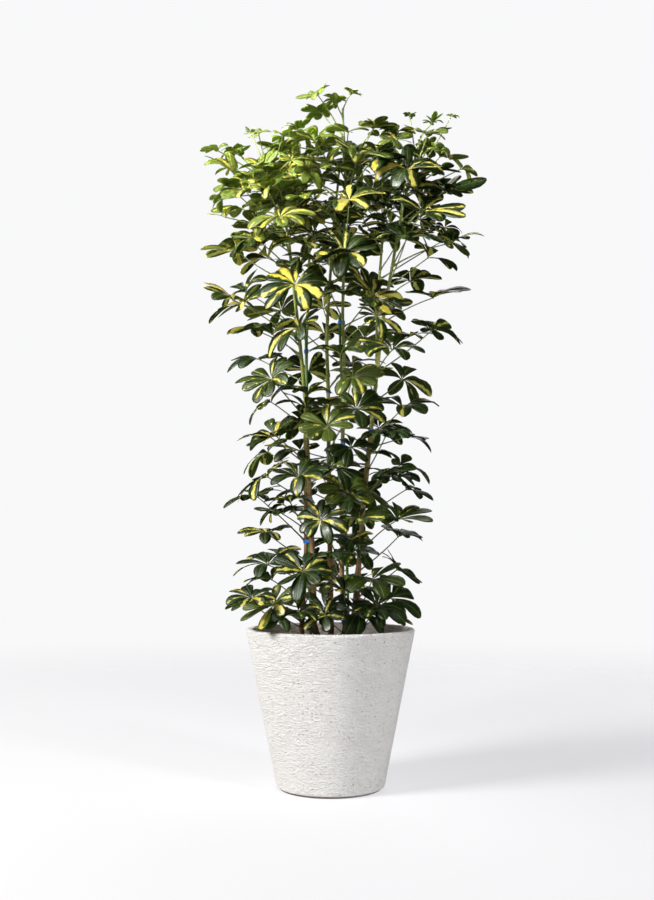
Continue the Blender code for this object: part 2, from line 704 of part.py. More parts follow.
def build_soil():
    """The soil: it fills the planter, with a plain hole for each stem and stake."""
    slope = (RIM_RADIUS - BASE_RADIUS) / (POT_HEIGHT - RIM_ROUND - FLOOR)
    low = BASE_RADIUS - WALL - FIT_GAP * 2
    high = low + slope * (SOIL_TOP - SOIL_CROWN - FLOOR)
    profile = [(0, FLOOR + FIT_GAP), (low, FLOOR + FIT_GAP), (high, SOIL_TOP - SOIL_CROWN),
               (high * SOIL_FLAT, SOIL_TOP), (0, SOIL_TOP)]
    soil = add_object("soil", mesh_of("soil", *turned(profile, SOIL_SIDES)), "soil")
    cutters = []
    for stem in STEMS.values():
        x, y = stem["foot"]
        ends = [Vector((x, y, SOIL_TOP - PLANTED_DEPTH - FIT_GAP)), Vector((x, y, SOIL_TOP + CUT_PAST))]
        cutters.append(tube(ends, [stem["radius"][0] + 2 * FIT_GAP] * 2, HOLE_SIDES))
    for name in STAKES:
        ends = [on_stake(name, SOIL_TOP - STAKE_DEPTH - FIT_GAP), on_stake(name, SOIL_TOP + CUT_PAST)]
        cutters.append(tube(ends, [STAKE_RADIUS + 2 * FIT_GAP] * 2, HOLE_SIDES))
    join(soil, cutters, "DIFFERENCE")
    shade(soil, SHARP_ANGLE)


def build_stake(name):
    """A straight stake with a rounded head, pushed deep into the soil."""
    head = STAKES[name][1][2]
    centres = [on_stake(name, z) for z in (SOIL_TOP - STAKE_DEPTH, head - STAKE_RADIUS, head)]
    radii = [STAKE_RADIUS, STAKE_RADIUS, STAKE_RADIUS / 2]
    stake = add_object(name, mesh_of(name, *tube(centres, radii, STAKE_SIDES)), "stake")
    shade(stake, ROUND_ANGLE)


def build_stem(name, curve, leaves):
    """A stem with its petioles and leaves, joined into one solid."""
    radii = [route_radius(STEMS[name], point.z) for point in curve]
    body = add_object(name, mesh_of(name, *tube(curve, radii, STEM_SIDES)), "plant")
    join(body, [solid_shell(leaf) for leaf in leaves], "UNION")
    shade(body, ROUND_ANGLE)


def main():
    for obj in list(bpy.data.objects):
        bpy.data.objects.remove(obj)
    build_planter()
    build_soil()
    for name in STAKES:
        build_stake(name)
    for name, stem, height, degrees in tie_list():
        add_object(name, mesh_of(name, *tie_shell(stem, height, degrees)), "tie")
    routes = {name: smooth_route(route_points(stem)) for name, stem in STEMS.items()}
    grown = grow_leaves(routes)
    for name, leaves in grown.items():
        build_stem(name, routes[name], leaves)
    return grown


main()
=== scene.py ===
# Potted umbrella plant: the finished look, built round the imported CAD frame.
import math
import random

import bmesh
import bpy
from mathutils import Matrix, Vector, noise


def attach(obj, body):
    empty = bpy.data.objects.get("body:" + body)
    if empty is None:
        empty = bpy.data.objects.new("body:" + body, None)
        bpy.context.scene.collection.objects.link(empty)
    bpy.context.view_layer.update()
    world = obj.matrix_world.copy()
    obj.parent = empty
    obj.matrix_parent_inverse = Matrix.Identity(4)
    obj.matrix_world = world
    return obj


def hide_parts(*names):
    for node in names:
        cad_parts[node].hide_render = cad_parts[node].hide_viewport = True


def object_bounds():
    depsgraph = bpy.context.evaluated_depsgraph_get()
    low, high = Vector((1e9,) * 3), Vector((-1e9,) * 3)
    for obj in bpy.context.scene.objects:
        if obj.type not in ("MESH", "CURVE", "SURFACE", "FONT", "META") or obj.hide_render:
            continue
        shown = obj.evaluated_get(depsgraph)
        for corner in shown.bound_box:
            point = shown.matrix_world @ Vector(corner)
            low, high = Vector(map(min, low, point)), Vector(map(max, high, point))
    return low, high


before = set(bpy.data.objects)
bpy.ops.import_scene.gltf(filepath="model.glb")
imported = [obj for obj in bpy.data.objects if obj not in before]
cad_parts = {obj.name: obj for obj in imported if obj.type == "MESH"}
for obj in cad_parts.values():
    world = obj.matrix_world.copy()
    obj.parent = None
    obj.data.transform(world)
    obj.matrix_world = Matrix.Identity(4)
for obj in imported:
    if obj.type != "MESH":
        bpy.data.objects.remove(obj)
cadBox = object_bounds()
print("frame loaded:", len(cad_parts), "nodes")


# Hands: small helpers for working in edit mode
def letGo():
    if bpy.context.mode != "OBJECT":
        bpy.ops.object.mode_set(mode="OBJECT")
    bpy.ops.object.select_all(action="DESELECT")


def takeUp(*pieces):  # selects just these pieces, the last one active
    letGo()
    for piece in pieces:
        piece.select_set(True)
    bpy.context.view_layer.objects.active = pieces[-1]


def openUp(piece, mode="VERT"):  # edit mode with nothing selected
    takeUp(piece)
    bpy.ops.object.mode_set(mode="EDIT")
    bpy.ops.mesh.select_mode(type=mode)
    bpy.ops.mesh.select_all(action="DESELECT")


def pick(piece, kind, test):  # selects the verts, edges or faces that pass the test
    mesh = bmesh.from_edit_mesh(piece.data)
    for item in getattr(mesh, kind):
        item.select_set(False)
    for item in getattr(mesh, kind):
        if test(item):
            item.select_set(True)
    mesh.select_flush_mode()
    bmesh.update_edit_mesh(piece.data)


def pickAll():
    bpy.ops.mesh.select_all(action="SELECT")


def closeUp(piece, name=None, outwards=False):
    if outwards:
        pickAll()
        bpy.ops.mesh.remove_doubles(threshold=1e-6)
        bpy.ops.mesh.normals_make_consistent(inside=False)
    bpy.ops.object.mode_set(mode="OBJECT")
    if name:
        piece.name = name
        piece.data.name = name
    return piece


def applyAll(piece):
    takeUp(piece)
    for modifier in list(piece.modifiers):
        bpy.ops.object.modifier_apply(modifier=modifier.name)


def newObject(name, data):
    made = bpy.data.objects.new(name, data)
    bpy.context.scene.collection.objects.link(made)
    return made


def copyOf(piece, name):  # a copy with its own mesh
    twin = piece.copy()
    twin.data = piece.data.copy()
    twin.name = name
    bpy.context.scene.collection.objects.link(twin)
    return twin


def asPlaced():  # the primitive just added, its place and turn put into its mesh
    bpy.ops.object.transform_apply(location=True, rotation=True, scale=True)
    return bpy.context.object


def joinUp(pieces, name):
    takeUp(*pieces)
    bpy.ops.object.join()
    joined = bpy.context.view_layer.objects.active
    joined.name = name
    joined.data.name = name
    return joined


def smoothShade(piece, degrees):
    takeUp(piece)
    bpy.ops.object.shade_smooth_by_angle(angle=math.radians(degrees))


def throwAway(*pieces):
    for piece in pieces:
        bpy.data.objects.remove(piece, do_unlink=True)


def climb(edge):  # how far an edge goes up
    return abs(edge.verts[0].co.z - edge.verts[1].co.z)


def mixed(pair, share):
    return pair[0] + (pair[1] - pair[0]) * share


def clamped(value, low=0.0, high=1.0):
    return min(high, max(low, value))


def within(value, pair):  # 0 at the first of the pair, 1 at the second
    return clamped((value - pair[0]) / (pair[1] - pair[0]))


def level(angle):  # the level direction at this angle
    return Vector((math.cos(angle), math.sin(angle), 0))


def pushFace(piece, texture, depth, still, group, **settings):  # a Displace modifier on one group of points
    push = piece.modifiers.new(texture.name, "DISPLACE")
    push.texture, push.strength, push.mid_level, push.vertex_group = texture, depth, still, group
    for key, value in settings.items():
        setattr(push, key, value)


def settle(piece, materials, slotName, *nodes):  # materials, body and the nodes it stands for; the slot name is not used
    if list(piece.data.materials) != materials:
        piece.data.materials.clear()
        for material in materials:
            piece.data.materials.append(material)
    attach(piece, "root")
    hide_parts(*nodes)


# Node helpers
def addNode(tree, kind, values=None, **settings):
    node = tree.nodes.new("ShaderNode" + kind)
    for key, value in settings.items():
        setattr(node, key, value)
    for socket, value in (values or {}).items():
        if isinstance(value, bpy.types.NodeSocket):
            tree.links.new(value, node.inputs[socket])
        else:
            node.inputs[socket].default_value = value
    return node


def calc(tree, operation, a, b=0.0):
    return addNode(tree, "Math", {0: a, 1: b}, operation=operation).outputs[0]


def scaled(tree, value, share):  # value times share
    return value if share == 1 else calc(tree, "MULTIPLY", value, share)


def raised(tree, value, share, base):  # value times share, plus base
    return calc(tree, "ADD", scaled(tree, value, share), base)


def ramped(tree, value, stops):
    node = addNode(tree, "ValToRGB", {0: value})
    while len(node.color_ramp.elements) < len(stops):
        node.color_ramp.elements.new(0.5)
    for element, (place, colour) in zip(node.color_ramp.elements, stops):
        element.position = place
        element.color = (*colour, 1.0)
    return node.outputs[0]


def colourMix(tree, factor, a, b):  # a where the factor is 0, b where it is 1
    node = addNode(tree, "Mix", data_type="RGBA", clamp_factor=True)
    for socket, value in ((0, factor), (6, a), (7, b)):
        if isinstance(value, bpy.types.NodeSocket):
            tree.links.new(value, node.inputs[socket])
        else:
            node.inputs[socket].default_value = (*value, 1.0) if socket else value
    return node.outputs[2]


def smoothStep(tree, value, low, high):
    node = addNode(tree, "MapRange", {"Value": value, "From Min": low, "From Max": high},
                   interpolation_type="SMOOTHSTEP")
    return node.outputs[0]


def newMaterial(name, sockets):
    made = bpy.data.materials.new(name)
    made.use_nodes = True
    shader = made.node_tree.nodes["Principled BSDF"]
    for key, value in sockets.items():
        shader.inputs[key].default_value = value
    return made, made.node_tree, shader


def feed(tree, shader, **outputs):
    for key, socket in outputs.items():
        tree.links.new(socket, shader.inputs[key.replace("_", " ")])


def placeOf(tree):
    return addNode(tree, "TexCoord").outputs["Object"]


def bumped(tree, shader, height, strength, distance):
    node = addNode(tree, "Bump", {"Height": height, "Strength": strength, "Distance": distance})
    tree.links.new(node.outputs[0], shader.inputs["Normal"])


def newGroup(name, inputs, outputs):
    group = bpy.data.node_groups.new(name, "ShaderNodeTree")
    for socketName, kind, value in inputs:
        socket = group.interface.new_socket(socketName, in_out="INPUT", socket_type="NodeSocket" + kind)
        if value is not None:
            socket.default_value = value
    for socketName, kind in outputs:
        group.interface.new_socket(socketName, in_out="OUTPUT", socket_type="NodeSocket" + kind)
    return group, group.nodes.new("NodeGroupInput").outputs, group.nodes.new("NodeGroupOutput").inputs


# Grain: speckle of one size, stretched if wanted, as a mask from 0 to 1
grainGroup, given, wanted = newGroup(
    "grain",
    [("Place", "Vector", None), ("Stretch", "Vector", (1.0, 1.0, 1.0)), ("Size", "Float", 0.01),
     ("Low", "Float", 0.35), ("High", "Float", 0.65)],
    [("Mask", "Float")])
stretched = addNode(grainGroup, "VectorMath", {0: given["Place"], 1: given["Stretch"]}, operation="MULTIPLY")
perMetre = calc(grainGroup, "DIVIDE", 1.0, given["Size"])
speckle = addNode(grainGroup, "TexNoise", {"Vector": stretched.outputs[0], "Scale": perMetre, "Detail": 4.0})
grainGroup.links.new(
    smoothStep(grainGroup, speckle.outputs[0], given["Low"], given["High"]), wanted["Mask"])


def grain(tree, size, low=0.35, high=0.65, stretch=(1.0, 1.0, 1.0), place=None):
    node = addNode(tree, "Group", node_tree=grainGroup)
    tree.links.new(place or placeOf(tree), node.inputs["Place"])
    for key, value in (("Size", size), ("Low", low), ("High", high), ("Stretch", stretch)):
        node.inputs[key].default_value = value
    return node.outputs["Mask"]


def heightTone(tree, place, masks, d):  # colour stops by height, their edges shifted by the drift mask
    height = addNode(tree, "SeparateXYZ", {0: place}).outputs["Z"]
    shift = raised(tree, masks["drift"], d["drift"], d["offset"])
    return ramped(tree, calc(tree, "DIVIDE", calc(tree, "ADD", height, shift), d["top"]), d["stops"])


# A finish in layers: grains are masks, a base of two tones or of heights, and coats laid on through masks
def finishOf(name, d, addMasks=None):
    made, tree, shader = newMaterial(name, d.get("sockets", {}))
    place = placeOf(tree)
    masks = {key: grain(tree, *values, place=place) for key, values in d["grains"].items()}
    if addMasks:
        addMasks(tree, place, masks, d)
    if "heights" in d:
        tone = heightTone(tree, place, masks, d["heights"])
    else:
        key, first, second = d["base"]
        tone = colourMix(tree, masks[key], first, second)
    for key, amount, colour in d["coats"]:
        tone = colourMix(tree, scaled(tree, masks[key], amount), tone, colour)
    parts = [scaled(tree, masks[key], share) for key, share in d["relief"].items()]
    relief = parts[0]
    for part in parts[1:]:
        relief = calc(tree, "ADD", relief, part)
    bumped(tree, shader, relief, *d["bump"])
    feed(tree, shader, Base_Color=tone)
    if "rough" in d:
        key, spread, least = d["rough"]
        feed(tree, shader, Roughness=raised(tree, masks[key], spread, least))
    return made


# Planter: a turned shell, then its rough-cast face
planter = {
    "height": 0.350, "rimRadius": 0.190, "baseRadius": 0.1215, "footRadius": 0.1140, "footHeight": 0.004,
    "wall": 0.016, "floor": 0.020, "rimRound": 0.005, "baseRound": 0.004,
    "sides": 400, "wallCuts": 150, "innerCuts": 24, "rimSteps": 4,
    "drainRadius": 0.008, "drainCircle": 0.055, "drainCount": 3, "drainTurn": 0.25, "drainSides": 24,
    "slack": 0.001, "faceDepth": 0.006, "faceFade": 0.012, "footFade": 0.006, "pitEnd": 0.17,
    "faces": (  # texture, size, depth and the level that stays in place
        ("CLOUDS", (0.0066, 0.0066, 0.0052), 0.0019, 0.5),
        ("CLOUDS", (0.024, 0.024, 0.0062), 0.0006, 0.5),
        ("VORONOI", (0.015, 0.015, 0.010), -0.0020, 0.0)),
}
wallSlope = (planter["rimRadius"] - planter["baseRadius"]) / (planter["height"] - planter["rimRound"])


def planterProfile(d):  # (radius, height) from the foot's edge, up the wall, over the rim and down inside
    steps = [(d["footRadius"], d["footHeight"])]
    for k in range(3):
        angle = math.radians(-90 + 45 * k)
        steps.append((d["baseRadius"] - d["baseRound"] + d["baseRound"] * math.cos(angle),
                      d["footHeight"] + d["baseRound"] + d["baseRound"] * math.sin(angle)))
    for radius, start in ((d["rimRadius"] - d["rimRound"], 0),
                          (d["rimRadius"] - d["wall"] + d["rimRound"], 90)):
        for k in range(d["rimSteps"] + 1):
            angle = math.radians(start + 90 * k / d["rimSteps"])
            steps.append((radius + d["rimRound"] * math.cos(angle),
                          d["height"] - d["rimRound"] + d["rimRound"] * math.sin(angle)))
    steps.append((d["baseRadius"] - d["wall"], d["floor"]))
    return steps


def turnPlanter(d):
    bpy.ops.mesh.primitive_circle_add(vertices=d["sides"], radius=d["footRadius"], fill_type="NGON")
    piece = bpy.context.object
    openUp(piece, "FACE")
    pickAll()
    radius, height = d["footRadius"], 0.0
    for nextRadius, nextHeight in planterProfile(d):
        bpy.ops.mesh.extrude_region_move(TRANSFORM_OT_translate={"value": (0, 0, nextHeight - height)})
        scale = nextRadius / radius
        bpy.ops.transform.resize(value=(scale, scale, 1), center_override=(0, 0, nextHeight))
        radius, height = nextRadius, nextHeight
    for inset, cuts in ((0.0, d["wallCuts"]), (d["wall"], d["innerCuts"])):
        low, high = d["baseRadius"] - inset - d["slack"], d["rimRadius"] - inset + d["slack"]
        bpy.ops.mesh.select_mode(type="EDGE")
        pick(piece, "edges", lambda e: climb(e) > d["height"] / 2
             and all(low < v.co.xy.length < high for v in e.verts))
        bpy.ops.mesh.subdivide(number_cuts=cuts)
    return closeUp(piece, "planterShell", outwards=True)


def drillDrains(piece, d):
    for k in range(d["drainCount"]):
        angle = 2 * math.pi * (k + d["drainTurn"]) / d["drainCount"]
        bpy.ops.mesh.primitive_cylinder_add(
            vertices=d["drainSides"], radius=d["drainRadius"], depth=d["floor"] * 3,
            location=(d["drainCircle"] * math.cos(angle), d["drainCircle"] * math.sin(angle), d["floor"] / 2))
        drill = bpy.context.object
        cut = piece.modifiers.new("drain", "BOOLEAN")
        cut.operation, cut.solver, cut.object = "DIFFERENCE", "MANIFOLD", drill
        applyAll(piece)
        throwAway(drill)


def roughCast(piece, d):  # combed strokes, cast lumps and pits, only on the outside and the rim
    face = piece.vertex_groups.new(name="face")
    for vertex in piece.data.vertices:
        outer = d["baseRadius"] + wallSlope * vertex.co.z
        inset = outer - vertex.co.xy.length
        weight = clamped(1 - (inset - d["faceDepth"]) / d["faceFade"])
        weight *= clamped((vertex.co.z - d["footFade"]) / d["footFade"])
        if weight > 0:
            face.add([vertex.index], weight, "REPLACE")
    helpers = []
    for kind, size, depth, still in d["faces"]:
        texture = bpy.data.textures.new("face", kind)
        texture.noise_scale = 1.0
        if kind == "CLOUDS":
            texture.noise_depth = 2
            texture.noise_basis = "ORIGINAL_PERLIN"
        else:  # only the middle of each cell, as a small round pit
            texture.use_color_ramp = True
            first, last = texture.color_ramp.elements
            first.position, first.color = 0.0, (1, 1, 1, 1)
            last.position, last.color = d["pitEnd"], (0, 0, 0, 1)
        space = newObject("faceSpace", None)
        space.scale = size
        helpers.append(space)
        pushFace(piece, texture, depth, still, "face", texture_coords="OBJECT", texture_coords_object=space)
    bpy.context.view_layer.update()
    applyAll(piece)
    throwAway(*helpers)
    piece.vertex_groups.clear()


roughCastLook = {
    "grains": {"patchy": (0.055, 0.30, 0.72, (1, 1, 2.2)), "fine": (0.0034, 0.34, 0.66, (1, 1, 1.15)),
               "combed": (0.0075, 0.38, 0.68, (0.55, 0.55, 1.8))},
    "base": ("patchy", (0.925, 0.910, 0.886), (0.965, 0.953, 0.932)),
    # hollows, where the fine grain is low, are painted darker as shade
    "coats": (("combed", 0.14, (0.660, 0.640, 0.605)), ("paintedHollowShade", 0.16, (0.600, 0.580, 0.550)),
              # the small pits are dented in the bump and also painted dark as shade
              ("pitWithPaintedShade", 0.60, (0.400, 0.365, 0.330)), ("inside", 1, (0.880, 0.780, 0.715)),
              # painted shadow: the inset foot under the pot is painted dark
              ("foot", 1, (0.330, 0.290, 0.260))),
    "relief": {"fine": 1, "combed": 0.85, "pitWithPaintedShade": -2.2}, "bump": (1.0, 0.0022),
    "rough": ("fine", 0.10, 0.82),
    "pitFlat": (0.7, 0.7, 1.25), "pitScale": 150.0, "pitEdge": (0.30, 0.12), "pitShare": (0.70, 0.90),
    "insideFrom": (0.010, 0.015), "footShadeEdge": (0.002, -0.001),
}


def roughCastMasks(tree, place, masks, d):  # painted shade in hollows and small pits, the inner wall, and painted shadow on the foot
    flat = addNode(tree, "VectorMath", {0: place, 1: d["pitFlat"]}, operation="MULTIPLY").outputs[0]
    cells = addNode(tree, "TexVoronoi", {"Vector": flat, "Scale": d["pitScale"]}).outputs
    chosen = addNode(tree, "SeparateColor", {0: cells["Color"]}).outputs[0]
    # small round pits: a dent in the bump, and painted shade in the colour
    masks["pitWithPaintedShade"] = calc(tree, "MULTIPLY", smoothStep(tree, cells["Distance"], *d["pitEdge"]),
                        smoothStep(tree, chosen, *d["pitShare"]))
    # painted shade: the low spots of the fine grain
    masks["paintedHollowShade"] = calc(tree, "SUBTRACT", 1.0, masks["fine"])
    radial = addNode(tree, "VectorMath", {0: place, 1: (1, 1, 0)}, operation="MULTIPLY").outputs[0]
    radius = addNode(tree, "VectorMath", {0: radial}, operation="LENGTH").outputs["Value"]
    height = addNode(tree, "SeparateXYZ", {0: place}).outputs["Z"]
    outer = raised(tree, height, wallSlope, planter["baseRadius"])
    masks["inside"] = smoothStep(tree, calc(tree, "SUBTRACT", outer, radius), *d["insideFrom"])
    # the inset foot, painted dark as the shadow under the pot
    masks["foot"] = smoothStep(tree, height, *(planter["footHeight"] + edge for edge in d["footShadeEdge"]))


planterPiece = turnPlanter(planter)
drillDrains(planterPiece, planter)
roughCast(planterPiece, planter)
smoothShade(planterPiece, 60)
settle(planterPiece, [finishOf("roughCastWhite", roughCastLook, roughCastMasks)], "planter", "planter")
print("planter done:", len(planterPiece.data.polygons), "faces")


# Soil: a crumbly surface, with bark chips lying on it
soil = {
    "top": 0.315, "edgeDrop": 0.004, "gap": 0.0008, "sides": 96, "rings": 30,
    "bumps": (("lumps", 0.022, 0.011), ("crumbs", 0.006, 0.005)), "bumpStill": 0.45, "edgeFade": 0.010,
    "chips": 190, "chipKinds": 3, "chipLength": (0.006, 0.018), "chipSides": (1.0, 0.55, 0.26),
    "chipRough": 0.11, "chipReach": 0.95, "chipTurn": (0, 6.28), "chipTip": (-0.5, 0.5), "chipLift": 0.08,
    "dropFrom": 0.4, "seed": 4,
}


def fillSoil(d, pot):
    slope = (pot["rimRadius"] - pot["baseRadius"]) / (pot["height"] - pot["rimRound"] - pot["floor"])
    low = pot["baseRadius"] - pot["wall"] - d["gap"]
    bottom, top = pot["floor"] + d["gap"], d["top"] - d["edgeDrop"]
    high = low + slope * (top - pot["floor"]) - d["gap"]
    bpy.ops.mesh.primitive_cone_add(vertices=d["sides"], radius1=low, radius2=high, depth=top - bottom,
                                    end_fill_type="NGON", location=(0, 0, (top + bottom) / 2))
    piece = asPlaced()
    openUp(piece, "FACE")
    pick(piece, "faces", lambda f: f.normal.z > 0.9)  # the top, inset ring by ring
    for _ in range(d["rings"]):
        bpy.ops.mesh.inset(thickness=high / (d["rings"] + 1))
    bpy.ops.mesh.poke()
    closeUp(piece, "soilFill")
    surface = piece.vertex_groups.new(name="surface")
    for vertex in piece.data.vertices:
        inset = high - vertex.co.xy.length
        if vertex.co.z > top - pot["slack"] and inset > pot["slack"]:
            surface.add([vertex.index], clamped(inset / d["edgeFade"]), "REPLACE")
    for name, size, depth in d["bumps"]:
        texture = bpy.data.textures.new(name, "CLOUDS")
        texture.noise_scale, texture.noise_depth = size, 3
        pushFace(piece, texture, depth, d["bumpStill"], "surface", direction="Z")
    applyAll(piece)
    piece.vertex_groups.clear()
    return piece, high


def chipShape(number, d):  # one splinter of bark, 1 long
    bpy.ops.mesh.primitive_cube_add(size=1)
    chip = bpy.context.object
    openUp(chip, "EDGE")
    pickAll()
    bpy.ops.transform.resize(value=d["chipSides"])
    pick(chip, "edges", lambda e: abs(e.verts[0].co.x - e.verts[1].co.x) > 0.5)  # the long edges
    bpy.ops.mesh.subdivide(number_cuts=2)
    pickAll()
    bpy.ops.transform.vertex_random(offset=d["chipRough"], seed=number + 1)
    bpy.ops.mesh.normals_make_consistent(inside=False)
    return closeUp(chip, "chipShape%d" % number)


def scatterChips(d, ground, radius):
    draw = random.Random(d["seed"])
    shapes = [chipShape(k, d) for k in range(d["chipKinds"])]
    chips = []
    for k in range(d["chips"]):
        chip = copyOf(draw.choice(shapes), "chip%d" % k)
        reach, angle = radius * d["chipReach"] * math.sqrt(draw.random()), draw.uniform(0, 2 * math.pi)
        above = Vector((reach * math.cos(angle), reach * math.sin(angle), d["dropFrom"]))
        spot = ground.ray_cast(above, Vector((0, 0, -1)))[1]
        size = draw.uniform(*d["chipLength"])
        turn = Matrix.Rotation(draw.uniform(*d["chipTurn"]), 4, "Z")
        turn = turn @ Matrix.Rotation(draw.uniform(*d["chipTip"]), 4, "Y")
        chip.data.transform(Matrix.Translation(spot + Vector((0, 0, size * d["chipLift"]))) @ turn
                            @ Matrix.Diagonal((size, size, size, 1)))
        chips.append(chip)
    throwAway(*shapes)
    return joinUp(chips, "soilChips")


earthLook = {
    "grains": {"crumb": (0.004,), "damp": (0.030,), "fleck": (0.0022, 0.70, 0.74)},
    "base": ("crumb", (0.014, 0.010, 0.007), (0.062, 0.042, 0.027)),
    "coats": (("damp", 0.5, (0.020, 0.014, 0.010)), ("fleck", 1, (0.46, 0.43, 0.38))),
    "relief": {"crumb": 1}, "bump": (0.9, 0.0020), "sockets": {"Roughness": 0.95},
}
chipLook = {
    "grains": {"fibre": (0.003, 0.35, 0.65, (1, 3, 1)), "patch": (0.018, 0.40, 0.60)},
    "base": ("patch", (0.040, 0.022, 0.012), (0.120, 0.066, 0.034)),
    "coats": (("fibre", 0.6, (0.022, 0.013, 0.009)),),
    "relief": {"fibre": 1}, "bump": (0.8, 0.0012), "sockets": {"Roughness": 0.9},
}

soilPiece, soilRadius = fillSoil(soil, planter)
chipPiece = scatterChips(soil, soilPiece, soilRadius)
smoothShade(soilPiece, 60)
settle(soilPiece, [finishOf("pottingMix", earthLook)], "soil", "soil")
settle(chipPiece, [finishOf("barkChip", chipLook)], "soil", "soil")
print("soil done:", len(soilPiece.data.polygons), "faces,", soil["chips"], "chips")


# Where the stems and stakes run: the same values as the CAD solids
plant = {
    "soilTop": 0.315, "plantedDepth": 0.10, "stemUpright": 0.012, "fitGap": 0.0004, "stakeDepth": 0.20,
    "tieStraight": 0.014, "standOff": 0.0035, "longGap": 0.15, "stemTaper": 0.8,
    "stakeRadius": 0.0032, "tieHeight": 0.008, "tieThickness": 0.0010, "tieSlack": 0.0004,
}
stakes = {
    "stake_left": ((-0.044, -0.006, 0.315), (-0.056, 0.002, 1.030)),
    "stake_centre": ((0.042, -0.032, 0.315), (0.021, -0.022, 1.065)),
    "stake_right": ((0.044, 0.020, 0.315), (0.121, 0.012, 1.060)),
    "stake_back": ((0.004, 0.066, 0.315), (-0.006, 0.076, 0.960)),
}
